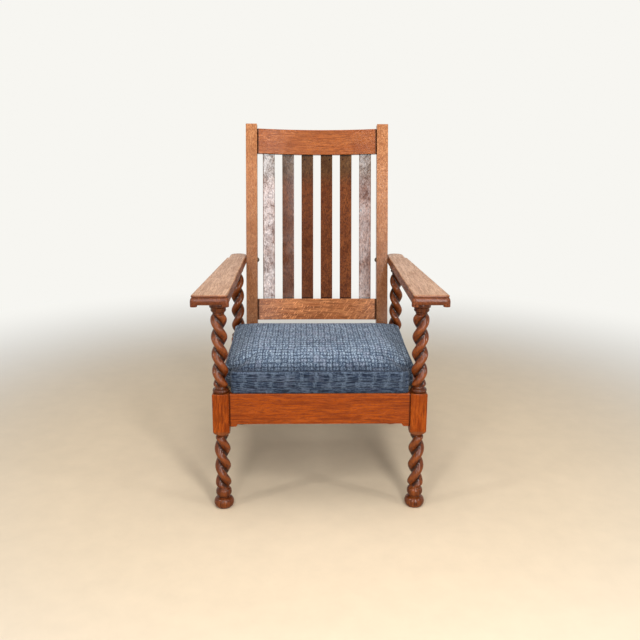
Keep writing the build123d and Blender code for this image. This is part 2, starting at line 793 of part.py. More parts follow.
# Arms, bored for the post tenons and housed round the stiles
with BuildPart() as arm:
    nosing_top = arm_top - arm_plate_thickness
    extrude(arm_outline(Plane.XY.offset(arm_bottom), arm_nosing), amount=nosing_top - arm_bottom)
    front_edges = arm.edges().group_by(Axis.Z)[0] + arm.edges().group_by(Axis.Z)[-1]
    fillet(front_edges, arm_nosing_round)
    extrude(arm_outline(Plane.XY.offset(nosing_top - ease), 0), amount=arm_plate_thickness + ease)
    lip_front = front_y - arm_front_reach
    lip_outer = half_spacing + arm_front_overhang - arm_corner_radius
    lip_inner = stile_outer + arm_corner_radius
    with BuildSketch(Plane.XY.offset(arm_bottom - arm_lip_depth)):
        with Locations((lip_outer, lip_front)):
            RectangleRounded(arm_lip_width, arm_lip_width, arm_corner_radius, align=(Align.MAX, Align.MIN))
        with Locations((lip_inner, lip_front)):
            RectangleRounded(arm_lip_width, arm_lip_width, arm_corner_radius, align=(Align.MIN, Align.MIN))
    extrude(amount=arm_lip_depth + arm_nosing_round)
    for plane in (front_post_plane, rear_post_plane):
        with BuildSketch(plane.offset(arm_bottom - overrun)):
            Circle(post_tenon_radius + fit_gap)
        extrude(amount=overrun + post_tenon_length + end_gap, mode=Mode.SUBTRACT)
    extrude(stile_side(Plane.YZ.offset(stile_inner)), amount=stile_width, mode=Mode.SUBTRACT)
    with BuildSketch(Plane.YZ.offset(stile_outer)):
        with Locations((bolt_y, bolt_height)):
            Circle(bolt_radius + fit_gap)
    extrude(amount=bolt_reach + end_gap, mode=Mode.SUBTRACT)
    with BuildSketch(Plane.YZ.offset(stile_outer)):
        with Locations((bolt_y, bolt_height)):
            Circle(bush_radius + fit_gap)
    extrude(amount=bush_depth + bush_length, mode=Mode.SUBTRACT)
hand_over_pair(arm, "arm")

# Threaded bushes let into the arms, and the dome-headed bolts through the stiles
with BuildPart() as arm_bush:
    with BuildSketch(Plane.YZ.offset(stile_outer + bush_depth)):
        with Locations((bolt_y, bolt_height)):
            Circle(bush_radius)
            Circle(bolt_radius + fit_gap / 2, mode=Mode.SUBTRACT)
    extrude(amount=bush_length)
hand_over_pair(arm_bush, "arm_bush")

dome_radius = (bolt_head_radius**2 + bolt_head_height**2) / (2 * bolt_head_height)
dome_turn = asin(bolt_head_radius / dome_radius) / 2
dome_middle_height = dome_radius * cos(dome_turn) - (dome_radius - bolt_head_height)

with BuildPart() as arm_bolt:
    with BuildSketch(Plane.XY.offset(bolt_height)):
        with BuildLine():
            Line((stile_inner - bolt_head_height, bolt_y), (stile_outer + bolt_reach, bolt_y))
            Line((stile_outer + bolt_reach, bolt_y), (stile_outer + bolt_reach, bolt_y + bolt_radius))
            Line((stile_outer + bolt_reach, bolt_y + bolt_radius), (stile_inner, bolt_y + bolt_radius))
            Line((stile_inner, bolt_y + bolt_radius), (stile_inner, bolt_y + bolt_head_radius))
            ThreePointArc(
                (stile_inner, bolt_y + bolt_head_radius),
                (stile_inner - dome_middle_height, bolt_y + dome_radius * sin(dome_turn)),
                (stile_inner - bolt_head_height, bolt_y),
            )
        make_face()
    revolve(axis=Axis((stile_inner, bolt_y, bolt_height), (1, 0, 0)))
hand_over_pair(arm_bolt, "arm_bolt")

# Seat
seat_bottom = rail_top + seat_rest_gap
seat_front_y = rail_face_y + seat_face_setback
seat_rear_y = stile_front_y - seat_stile_gap
seat_top = seat_bottom + seat_edge_height + seat_crown
seat_front_half_width = block_inner + seat_front_overhang
seat_rear_half_width = block_inner + seat_rear_overhang
seat_reach = max(seat_front_half_width, seat_rear_half_width) + overrun


def seat_outline(plane, inset):
    """Plan of the seat, shrunk by inset all round.

    A tongue comes forward between the front posts, and the long sides spread towards the
    rear and are drawn in a little.
    """
    tongue = block_inner - seat_post_gap - inset
    notch_y = front_block_back + seat_notch_gap
    front = seat_front_y + inset
    rear = seat_rear_y + (seat_edge_height + seat_crown) * tan(rake) - inset
    narrow = seat_front_half_width - inset
    wide = seat_rear_half_width - inset
    side_middle = ((narrow + wide) / 2 - seat_side_draw, (notch_y + seat_notch_run + rear) / 2)
    with BuildSketch(plane) as outline:
        with BuildLine():
            Line((0, front), (tongue, front))
            Line((tongue, front), (tongue, notch_y))
            Spline((tongue, notch_y), (narrow, notch_y + seat_notch_run), tangents=((0, 1), (0, 1)))
            ThreePointArc((narrow, notch_y + seat_notch_run), side_middle, (wide, rear))
            Line((wide, rear), (0, rear))
            mirror(about=Plane.YZ)
        make_face()
        front_corners = outline.vertices().filter_by(lambda v: abs(v.Y - front) < ease and abs(v.X) > ease)
        fillet(front_corners, seat_corner_radius - inset)
    return outline.sketch


def seat_block(bottom, top, inset):
    """The seat's plain form between two heights: the back leans with the stiles."""
    back_low = seat_rear_y - inset
    cut_bottom = seat_bottom - overrun
    cut_top = seat_top + overrun
    with BuildPart() as block:
        extrude(seat_outline(Plane.XY.offset(bottom), inset), amount=top - bottom)
        with BuildSketch(Plane.YZ):
            with BuildLine():
                Polyline(
                    (seat_front_y - overrun, cut_bottom),
                    (back_low + (cut_bottom - seat_bottom) * tan(rake), cut_bottom),
                    (back_low + (cut_top - seat_bottom) * tan(rake), cut_top),
                    (seat_front_y - overrun, cut_top),
                    close=True,
                )
            make_face()
        extrude(amount=seat_reach, both=True, mode=Mode.INTERSECT)
        upright_edges = block.edges().filter_by(lambda edge: abs((edge @ 1 - edge @ 0).Z) > ease / 2)
        fillet(upright_edges.group_by(Axis.Y)[-1], seat_rear_corner_radius - inset)
    return block.part


def cushion(bottom, inset):
    """Crowned seat form above the height bottom, shrunk by inset on the sides and top."""
    corner_reach = sqrt(seat_rear_half_width**2 + ((seat_rear_y - seat_front_y) / 2) ** 2)
    dome_radius = (corner_reach**2 + seat_crown**2) / (2 * seat_crown)
    middle_y = (seat_front_y + seat_rear_y) / 2
    with BuildPart() as form:
        add(seat_block(bottom, seat_top - inset, inset))
        with Locations((0, middle_y, seat_top - dome_radius)):
            Sphere(dome_radius - inset, mode=Mode.INTERSECT)
        crown_face = form.faces().sort_by(Axis.Z)[-1]
        fillet(crown_face.edges(), seat_edge_round - inset)
    return form


seat_cover_form = cushion(seat_bottom, 0)
padding_inset = cover_thickness + cloth_gap
padding_space = cushion(seat_bottom, cover_thickness)
with BuildPart() as seat_cover:
    add(seat_cover_form.part)
    add(padding_space.part, mode=Mode.SUBTRACT)
hand_over(seat_cover, "seat_cover")

dust_cover_top = seat_bottom + dust_cover_thickness
frame_bottom = dust_cover_top
frame_top = frame_bottom + seat_frame_thickness
web_across_top = frame_top + web_thickness
web_along_top = web_across_top + web_thickness

seat_padding = cushion(web_along_top + cloth_gap, padding_inset)
hand_over(seat_padding, "seat_padding")

# Frame inside the seat: four flat rails under the webbing
frame_back = seat_rear_y + seat_frame_thickness
frame_front = seat_front_y
frame_front_bar = front_block_back + seat_notch_gap + seat_frame_width
frame_rear_bar = seat_rear_y - seat_frame_width
frame_side_bar = seat_front_half_width - padding_inset - seat_side_draw - seat_frame_width


inner_block = seat_block(seat_bottom, frame_top + overrun, padding_inset)


def slice_of_seat(bottom, thickness, low_corner, high_corner):
    """A level layer of the seat's inner form, between two corners in plan."""
    with BuildPart() as layer:
        add(inner_block)
        with BuildSketch(Plane.XY.offset(bottom)):
            with Locations(low_corner):
                Rectangle(high_corner[0] - low_corner[0], high_corner[1] - low_corner[1], align=Align.MIN)
        extrude(amount=thickness, mode=Mode.INTERSECT)
    return layer


def seat_frame_bar(low_corner, high_corner):
    return slice_of_seat(frame_bottom, seat_frame_thickness, low_corner, high_corner)


frame_reach = seat_reach
seat_frame_front = seat_frame_bar((-frame_reach, frame_front - overrun), (frame_reach, frame_front_bar))
hand_over(seat_frame_front, "seat_frame_front")
seat_frame_rear = seat_frame_bar((-frame_reach, frame_rear_bar), (frame_reach, frame_back))
hand_over(seat_frame_rear, "seat_frame_rear")
seat_frame_side = seat_frame_bar((frame_side_bar, frame_front_bar), (frame_reach, frame_rear_bar))
hand_over_pair(seat_frame_side, "seat_frame")

# Webbing: bands across, with bands from front to back over them
web_length_across = 2 * (frame_side_bar + seat_frame_width / 2)
web_length_along = frame_rear_bar - frame_front_bar + seat_frame_width
web_middle_y = (frame_rear_bar + frame_front_bar) / 2
web_step_across = (frame_rear_bar - frame_front_bar) * web_spread_share / (web_count_across - 1)
web_step_along = 2 * frame_side_bar * web_spread_share / (web_count_along - 1)

with BuildPart() as webbing_across:
    with BuildSketch(Plane.XY.offset(frame_top)):
        for index in range(web_count_across):
            with Locations((0, web_middle_y + (index - (web_count_across - 1) / 2) * web_step_across)):
                Rectangle(web_length_across, web_width)
    extrude(amount=web_thickness)
hand_over(webbing_across, "webbing_across")

with BuildPart() as webbing_along:
    with BuildSketch(Plane.XY.offset(web_across_top)):
        for index in range(web_count_along):
            with Locations(((index - (web_count_along - 1) / 2) * web_step_along, web_middle_y)):
                Rectangle(web_width, web_length_along)
    extrude(amount=web_thickness)
hand_over(webbing_along, "webbing_along")

dust_cover_corners = (-frame_reach, frame_front), (frame_reach, frame_back)
dust_cover = slice_of_seat(seat_bottom, dust_cover_thickness, *dust_cover_corners)
hand_over(dust_cover, "dust_cover")
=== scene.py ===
"""Looks of an oak lounge chair with twist-turned posts, flat arms, a raked slat back and a blue seat."""

import math

import bpy
import numpy as np
from bpy.props import FloatProperty, FloatVectorProperty, IntProperty, PointerProperty
from mathutils import Matrix, Vector


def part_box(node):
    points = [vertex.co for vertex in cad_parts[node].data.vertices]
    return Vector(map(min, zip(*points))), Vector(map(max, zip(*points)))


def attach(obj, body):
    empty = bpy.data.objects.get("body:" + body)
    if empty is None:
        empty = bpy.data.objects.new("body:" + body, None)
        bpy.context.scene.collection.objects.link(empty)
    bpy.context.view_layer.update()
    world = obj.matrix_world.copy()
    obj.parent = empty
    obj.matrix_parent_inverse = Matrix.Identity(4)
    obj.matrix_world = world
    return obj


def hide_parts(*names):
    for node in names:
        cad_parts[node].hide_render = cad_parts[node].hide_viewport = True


bl_info = {
    "name": "Twist-post lounge chair",
    "version": (1, 0, 0),
    "blender": (4, 5, 0),
    "location": "View3D > Sidebar > Chair",
    "description": "Builds the turned posts, boards, arms and upholstered seat of a lounge chair",
    "category": "Add Mesh",
}

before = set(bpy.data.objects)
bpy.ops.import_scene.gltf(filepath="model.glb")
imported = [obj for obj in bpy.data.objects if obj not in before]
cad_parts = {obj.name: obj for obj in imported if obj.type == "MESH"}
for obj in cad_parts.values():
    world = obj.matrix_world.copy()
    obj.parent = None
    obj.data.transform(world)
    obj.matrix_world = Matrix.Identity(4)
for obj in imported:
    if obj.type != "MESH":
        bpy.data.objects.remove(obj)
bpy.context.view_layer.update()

# Places and sizes in metres, read from the frame where it has them. The frame of posts, rails and arms:
POST_LOW, POST_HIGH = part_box("front_post_right")
POST_X = (POST_LOW.x + POST_HIGH.x) / 2
FRONT_Y = (POST_LOW.y + POST_HIGH.y) / 2
REAR_LOW, REAR_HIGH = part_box("rear_post_right")
REAR_Y = (REAR_LOW.y + REAR_HIGH.y) / 2
BLOCK_HALF = 0.024
BLOCK_BOTTOM = 0.253
NECK_RADIUS = 0.0155
TWIST_LOW = 0.065
UPPER_TWIST_LOW = 0.3840
CAPITAL_HEIGHT = 0.0328
LEG_RUN = 0.068
LEG_SUNK = 0.005
RAIL_TOP = 0.366
RAIL_HEIGHT = 0.094
REAR_RAIL_HALF = 0.051
RAIL_HALF = 0.011
RAIL_INSET = 0.006
RAIL_JOINT = 0.0035
SLAT_JOINT = 0.0145
ARM_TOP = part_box("arm_right")[1].z
ARM_BOTTOM = ARM_TOP - 0.0305
ARM_FRONT_Y = FRONT_Y - 0.045
ARM_OUTER_X = POST_X + 0.0735
LIP_HALF = 0.0098
LIP_INSET = LIP_HALF - 0.0005
# The raked back, with heights along the stile from the top of the seat rails:
STILE_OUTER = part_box("stile_right")[1].x
STILE_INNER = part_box("stile_right")[0].x
STILE_HALF = 0.018
STILE_FRONT_Y = REAR_Y - BLOCK_HALF - 2 * STILE_HALF
STILE_LENGTH = 0.782
TOP_RAIL = (STILE_LENGTH - 0.1045, STILE_LENGTH - 0.016)
BOTTOM_RAIL = (0.077, 0.1535)
RAKE = math.radians(12.2)
ACROSS = np.array([1, 0, 0])
BACK_UP = np.array([0, math.sin(RAKE), math.cos(RAKE)])
BACK_IN = np.array([0, math.cos(RAKE), -math.sin(RAKE)])
BACK_ORIGIN = np.array([0, STILE_FRONT_Y, RAIL_TOP])
BOW_DEPTH = 0.024
BOW_RADIUS = (STILE_INNER**2 + BOW_DEPTH**2) / (2 * BOW_DEPTH)
BOW_MIDDLE = 0.016
# The seat, a tongue between the front posts that widens behind them:
SEAT_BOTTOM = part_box("seat_cover")[0].z
SEAT_FRONT_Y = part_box("seat_cover")[0].y
SEAT_REAR_Y = STILE_FRONT_Y - 0.003
SEAT_TONGUE = POST_X - BLOCK_HALF - 0.004
SEAT_NOTCH = FRONT_Y + BLOCK_HALF + 0.006
SEAT_SPREAD = 0.044
SEAT_NARROW = POST_X - BLOCK_HALF + 0.020
SEAT_WIDE = POST_X - BLOCK_HALF + 0.031
BAND_LEAN = math.tan(RAKE)


# Meshes from arrays


def ring_quads(rows, columns):
    """Faces between neighbouring rows of points, where each row is a closed ring."""
    start = np.arange(rows - 1)[:, None] * columns
    column = np.arange(columns)[None, :]
    following = (column + 1) % columns
    corners = [start + column, start + following, start + columns + following, start + columns + column]
    return np.stack(corners, axis=-1).reshape(-1, 4)


def tube(points):
    """A closed shell (points, quads, caps) from rings of points, with a cap on the first and the last."""
    rows, columns = points.shape[:2]
    ring = np.arange(columns)
    return points.reshape(-1, 3), ring_quads(rows, columns), [ring[::-1], (rows - 1) * columns + ring]


def put_values(mesh, key, values):
    """One number for each point of the mesh, as an attribute."""
    attribute = mesh.attributes.new(key, "FLOAT", "POINT")
    attribute.data.foreach_set("value", np.asarray(values, np.float32).ravel())


def put_mesh(name, points, quads, caps=(), crease=35.0, attributes=None):
    """A mesh object of quads and many-sided caps, smooth except where faces meet past the crease angle."""
    corners = np.concatenate([np.ravel(faces) for faces in (quads, *caps)]).astype(np.int32)
    sizes = np.array([4] * len(quads) + [len(cap) for cap in caps])
    mesh = bpy.data.meshes.new(name)
    mesh.vertices.add(len(points))
    mesh.vertices.foreach_set("co", np.asarray(points, np.float32).ravel())
    mesh.loops.add(len(corners))
    mesh.loops.foreach_set("vertex_index", corners)
    mesh.polygons.add(len(sizes))
    mesh.polygons.foreach_set("loop_start", (np.cumsum(sizes) - sizes).astype(np.int32))
    mesh.update(calc_edges=True)
    mesh.validate()
    mesh.shade_smooth()
    if crease < 180:
        mesh.set_sharp_from_angle(angle=math.radians(crease))
    for key, values in (attributes or {}).items():
        put_values(mesh, key, values)
    piece = bpy.data.objects.new(name, mesh)
    bpy.context.scene.collection.objects.link(piece)
    return piece


def join_shells(shells):
    """Several shells as one, with the point numbers moved on."""
    points, quads, caps, start = [], [], [], 0
    for shell_points, shell_quads, shell_caps in shells:
        points.append(shell_points)
        quads.append(shell_quads + start)
        caps.extend(cap + start for cap in shell_caps)
        start += len(shell_points)
    return np.concatenate(points), np.concatenate(quads), caps


def turned_over(shell):
    """The shell with every face turned round."""
    points, quads, caps = shell
    return points, quads[:, ::-1], [cap[::-1] for cap in caps]


def facing_out(shell):
    """The shell, turned over if the volume under its quads, from two triangles each, comes out negative."""
    a, b, c, d = np.moveaxis(shell[0][shell[1]], 1, 0)
    volume = np.sum(a * (np.cross(b, c) + np.cross(c, d)))
    return turned_over(shell) if volume < 0 else shell


def both_sides(shell):
    """The right piece's shell and its mirror image, the left one's."""
    points, quads, caps = turned_over(shell)
    return ("right", shell), ("left", (points * (-1, 1, 1), quads, caps))


def rounded_section(half_width, half_height, radius, steps=5):
    """Points round a rectangle with round corners: quarter circles about points inset by the radius.

    A further point stands a third of the radius before and after each quarter, on the flat, so that
    the flats are shaded flat. half_width, half_height and radius are arrays, one entry for each station.
    """
    turn = np.concatenate([[0], np.linspace(0, math.pi / 2, steps), [math.pi / 2]])
    slide = np.tile(np.concatenate([[-1 / 3], np.zeros(steps), [1 / 3]]), 4)
    angle = np.concatenate([turn + quarter * math.pi / 2 for quarter in range(4)])
    side = np.repeat([1, -1, -1, 1], steps + 2)
    rise = np.repeat([1, 1, -1, -1], steps + 2)
    radius = radius[:, None]
    across = side * (half_width[:, None] - radius) + radius * (np.cos(angle) - slide * np.sin(angle))
    upward = rise * (half_height[:, None] - radius) + radius * (np.sin(angle) + slide * np.cos(angle))
    return across, upward


def board_shell(path, across, upward, half_width, half_height, arris, joint=0.0, steps=5):
    """A board: a round-cornered rectangle carried along a path, drawn in over the arris at both ends.

    Each station's points are path + across * a + upward * b. At a distance d from an end the
    rectangle shrinks by arris - sqrt(arris^2 - (arris - d)^2), which rounds the end's edges too.
    With the shell come its attributes: arris is 1 on the rounded edges and 0 on the flats, and joint
    is 1 up to the distance joint from both ends, where a joined board is darkened, as dirt and as
    painted shade from the piece that it meets.
    """
    path = np.asarray(path, float)
    across, upward = (np.broadcast_to(np.asarray(way, float), path.shape) for way in (across, upward))
    half_width, half_height = (np.broadcast_to(half, len(path)) for half in (half_width, half_height))
    run = np.concatenate([[0], np.cumsum(np.linalg.norm(np.diff(path, axis=0), axis=1))])
    ease = arris * (1 - np.cos(np.linspace(0, math.pi / 2, 4)))
    guard = np.array([joint, joint + 0.002]) if joint else np.zeros(0)
    clear = max(arris * 1.2, joint + 0.003 if joint else 0.0)
    inner = run[(run > clear) & (run < run[-1] - clear)]
    stations = np.unique(np.concatenate([ease, guard, inner, run[-1] - guard, run[-1] - ease]))

    def along(values):
        return np.stack([np.interp(stations, run, column) for column in values.T], axis=-1)[:, None]

    from_end = np.minimum(stations, run[-1] - stations)
    end = np.minimum(from_end, arris)
    shrink = arris - np.sqrt(np.maximum(arris**2 - (arris - end) ** 2, 0))
    widths = np.interp(stations, run, half_width) - shrink
    heights = np.interp(stations, run, half_height) - shrink
    a, b = rounded_section(widths, heights, arris - shrink * 0.5, steps)
    shell = tube(along(path) + along(across) * a[..., None] + along(upward) * b[..., None])
    values = {
        "arris": np.tile([0.0, *np.ones(steps), 0.0], 4 * len(stations)),
        "joint": np.repeat((from_end < joint + 1e-6) * float(joint > 0), a.shape[1]),
    }
    return facing_out(shell), values


def put_board(node, slot_name, finish, *shape):
    """A board in its node's place. The shape is what board_shell takes."""
    shell, values = board_shell(*shape)
    return dress(put_mesh(f"{node}_board", *shell, attributes=values), "frame", slot_name, finish, node)


# Finishes


def shade(tone, factor):
    """A colour times one factor, or times one for each channel, kept within 1."""
    return [min(float(channel), 1.0) for channel in np.multiply(tone, factor)]


class Wire:
    """A shader socket that takes part in sums: each operator adds the Math node that works it out."""

    def __init__(self, nodes, socket):
        self.nodes = nodes
        self.socket = socket

    def math(self, operation, *others):
        values = dict(enumerate((self, *others)))
        return self.nodes.node("ShaderNodeMath", {"operation": operation}, values)

    def __add__(self, other):
        return self.math("ADD", other)

    __radd__ = __add__

    def __sub__(self, other):
        return self.math("SUBTRACT", other)

    def __rsub__(self, other):
        return self.nodes.node("ShaderNodeMath", {"operation": "SUBTRACT"}, {0: other, 1: self})

    def __mul__(self, other):
        return self.math("MULTIPLY", other)

    __rmul__ = __mul__

    def __truediv__(self, other):
        return self.math("DIVIDE", other)

    def wave(self):
        return self.math("SINE")

    def fraction(self):
        return self.math("FRACT")

    def whole(self):
        return self.math("FLOOR")

    def size(self):
        return self.math("ABSOLUTE")

    def most(self, other):
        return self.math("MAXIMUM", other)

    def least(self, other):
        return self.math("MINIMUM", other)

    def between(self, low, high):
        """0 below low, 1 above high and a smooth step between them."""
        values = {"Value": self, "From Min": low, "From Max": high}
        return self.nodes.node("ShaderNodeMapRange", {"interpolation_type": "SMOOTHSTEP"}, values)


class Nodes:
    """A node tree and short ways to add nodes to it."""

    def __init__(self, tree):
        self.tree = tree

    def node(self, kind, settings=None, values=None, output=0):
        """A node of that kind: its settings first, then its sockets' values or links."""
        made = self.tree.nodes.new(kind)
        for key, setting in (settings or {}).items():
            setattr(made, key, setting)
        for key, value in (values or {}).items():
            self.feed(made.inputs[key], value)
        return Wire(self, made.outputs[output])

    def feed(self, socket, value):
        if isinstance(value, Wire):
            self.tree.links.new(value.socket, socket)
        elif socket.type == "RGBA" and len(value) == 3:
            socket.default_value = (*value, 1)
        else:
            socket.default_value = value

    def seen(self):
        """1 for rays from the camera and for mirrored ones, and 0 for those that light the scene."""
        camera = self.node("ShaderNodeLightPath", output="Is Camera Ray")
        return camera.most(Wire(self, camera.socket.node.outputs["Is Glossy Ray"]))


class Finish(Nodes):
    """A procedural material and the nodes that make it."""

    def __init__(self, name):
        self.material = bpy.data.materials.new(name)
        self.material.use_nodes = True
        super().__init__(self.material.node_tree)
        self.shader = self.tree.nodes["Principled BSDF"]

    def colour(self, low, high, share):
        """Mixes two colours by a share from 0 to 1."""
        values = {"Factor": share, 6: low, 7: high}
        return self.node("ShaderNodeMix", {"data_type": "RGBA"}, values, output=2)

    def vector(self, operation, *values):
        return self.node("ShaderNodeVectorMath", {"operation": operation}, dict(enumerate(values)))

    def here(self):
        """Object coordinates."""
        return self.node("ShaderNodeTexCoord", output="Object")

    def place(self, turn=(0, 0, 0), shift=(0, 0, 0)):
        """Object coordinates, turned so that the grain runs along their Z."""
        values = {"Vector": self.here(), "Rotation": turn, "Location": shift}
        return self.node("ShaderNodeMapping", None, values)

    def parts(self, vector):
        split = self.node("ShaderNodeSeparateXYZ", None, {0: vector})
        return [Wire(self, socket) for socket in split.socket.node.outputs]

    def noise(self, vector, scale, detail=2.0, roughness=0.5):
        values = {"Vector": vector, "Scale": scale, "Detail": detail, "Roughness": roughness}
        return self.node("ShaderNodeTexNoise", None, values)

    def chance(self, x, y):
        """A random number from 0 to 1 that stays the same for the same x and y."""
        cell = self.node("ShaderNodeCombineXYZ", None, {0: x * 3.17 + 0.5, 1: y * 1.73 + 0.5, 2: 0.5})
        return self.node("ShaderNodeTexWhiteNoise", {"noise_dimensions": "3D"}, {"Vector": cell})

    def attribute(self, name):
        return self.node("ShaderNodeAttribute", {"attribute_name": name}, output="Fac")

    def bump(self, height, distance, strength=1.0):
        values = {"Height": height, "Distance": distance, "Strength": strength}
        self.feed(self.shader.inputs["Normal"], self.node("ShaderNodeBump", None, values))

    def set(self, **values):
        for key, value in values.items():
            self.feed(self.shader.inputs[key.replace("_", " ")], value)
        return self.material


def oak(
    name, tones, turn=(0, 0, 0), shift=(0, 0, 0), fleck=0.3, fleck_turn=0.6, figure=1.0,
    edge=None, deep=None, marks=(), **looks
):
    """Stained oak: slow bands, dark streaks and short dark dashes along the grain, and paler ray flecks.

    The grain runs along Z after the turn, and figure is the strength of the bands. edge is
    (attribute, tones) for a part stained in other tones where the attribute falls to 0, and deep
    names an attribute that is 0 in grooves, which take painted shade, and 1 on crests, which take a
    painted highlight. marks are (place, radius) of knots and nail heads, before the turn. looks may
    hold rough, shine, coat, coat_rough, edge_coat, worn, which makes the coat streaky, and fade, which
    is (height, height, tint): the tone takes the tint at the first height and is free of it at the
    second.
    """
    finish = Finish(name)
    place = finish.place(turn, shift)
    drift = finish.noise(place, 6.0, 2.0)
    sway = finish.node("ShaderNodeCombineXYZ", None, {0: drift * 0.03, 1: drift * 0.025, 2: 0.0})
    bent = finish.vector("ADD", place, sway)

    def grain(stretch, scale, detail, roughness, low, high):
        stretched = finish.vector("MULTIPLY", bent, (1.0, 1.0, stretch))
        return finish.noise(stretched, scale, detail, roughness).between(low, high)

    band = grain(0.045, 52.0, 3.0, 0.55, 0.34, 0.66)
    streak = grain(0.032, 250.0, 3.0, 0.6, 0.40, 0.64)
    dash = grain(0.075, 430.0, 2.0, 0.5, 0.52, 0.64)
    pore = grain(0.17, 1050.0, 2.0, 0.55, 0.54, 0.68)
    mottle = grain(0.3, 70.0, 3.0, 0.6, 0.35, 0.7)
    slant = {"Vector": bent, "Rotation": (0.0, fleck_turn, fleck_turn)}
    aslant = finish.vector("MULTIPLY", finish.node("ShaderNodeMapping", None, slant), (1.0, 1.0, 0.13))
    ray = finish.noise(aslant, 260.0, 2.0, 0.5).between(0.63 - fleck * 0.06, 0.69 - fleck * 0.06)
    patch = finish.noise(place, 11.0, 3.0, 0.6).between(0.42, 0.68)

    def stain(dark, middle, light):
        pale = (1 - band) * 0.60 * figure + (1 - mottle) * 0.35 * figure + (1 - figure) * 0.45
        tone = finish.colour(middle, light, pale)
        tone = finish.colour(tone, dark, streak * 0.65)
        tone = finish.colour(tone, shade(dark, 0.6), dash * 0.5)
        tone = finish.colour(tone, shade(light, 1 + fleck * 0.3), ray * fleck)
        tone = finish.colour(tone, shade(dark, 0.35), pore * 0.45)
        return finish.colour(tone, shade(np.add(dark, middle), 0.40), patch * 0.45 * figure)

    dark, _, light = tones
    tone = stain(*tones)
    if edge:
        tone = finish.colour(stain(*edge[1]), tone, finish.attribute(edge[0]))
    if deep:
        crest = finish.attribute(deep)
        # Painted highlight where the deep attribute is high, and painted shade where it is low: in the
        # grooves of the twists and in the arm's quirk.
        tone = finish.colour(tone, light, crest.between(0.78, 1.0) * 0.35)
        tone = finish.colour(shade(dark, 0.35), tone, crest.between(-0.12, 0.46))
    rubbed = finish.attribute("arris") * finish.noise(place, 60.0, 3.0, 0.6).between(0.35, 0.6)
    tone = finish.colour(tone, shade(light, 1.2), rubbed * 0.3)
    # Ends of joined boards darkened: dirt, and painted shade from the piece that each meets.
    tone = finish.colour(tone, shade(dark, 0.2), finish.attribute("joint") * 0.75)
    if "fade" in looks:
        tinted, clear, tint = looks["fade"]
        _, _, level = finish.parts(finish.here())
        tone = finish.colour(finish.vector("MULTIPLY", tone, tint), tone, level.between(tinted, clear))
    for spot, radius in marks:
        apart = {0: finish.here(), 1: spot}
        near = finish.node("ShaderNodeVectorMath", {"operation": "DISTANCE"}, apart, output="Value")
        tone = finish.colour(shade(dark, 0.15), tone, near.between(radius * 0.6, radius))
    finish.bump(streak * -0.5 + dash * -0.5 + pore * -0.5, 0.0005, 0.5)
    rough = streak * 0.10 + dash * 0.14 + patch * 0.10 + (looks.get("rough", 0.3) - 0.1)
    coat = looks.get("coat", 0.08)
    if edge:
        rest = looks.get("edge_coat", 0.06)
        coat = finish.attribute(edge[0]) * (coat - rest) + rest
    if "worn" in looks:
        left = 1 - streak * 0.35 - dash * 0.3 - patch * 0.4 - (1 - mottle) * 0.25
        coat = left.most(0.15) * (coat * looks["worn"])
    return finish.set(
        Base_Color=tone,
        Roughness=rough,
        Specular_IOR_Level=looks.get("shine", 0.08),
        Coat_Weight=coat,
        Coat_Roughness=looks.get("coat_rough", 0.16),
    )


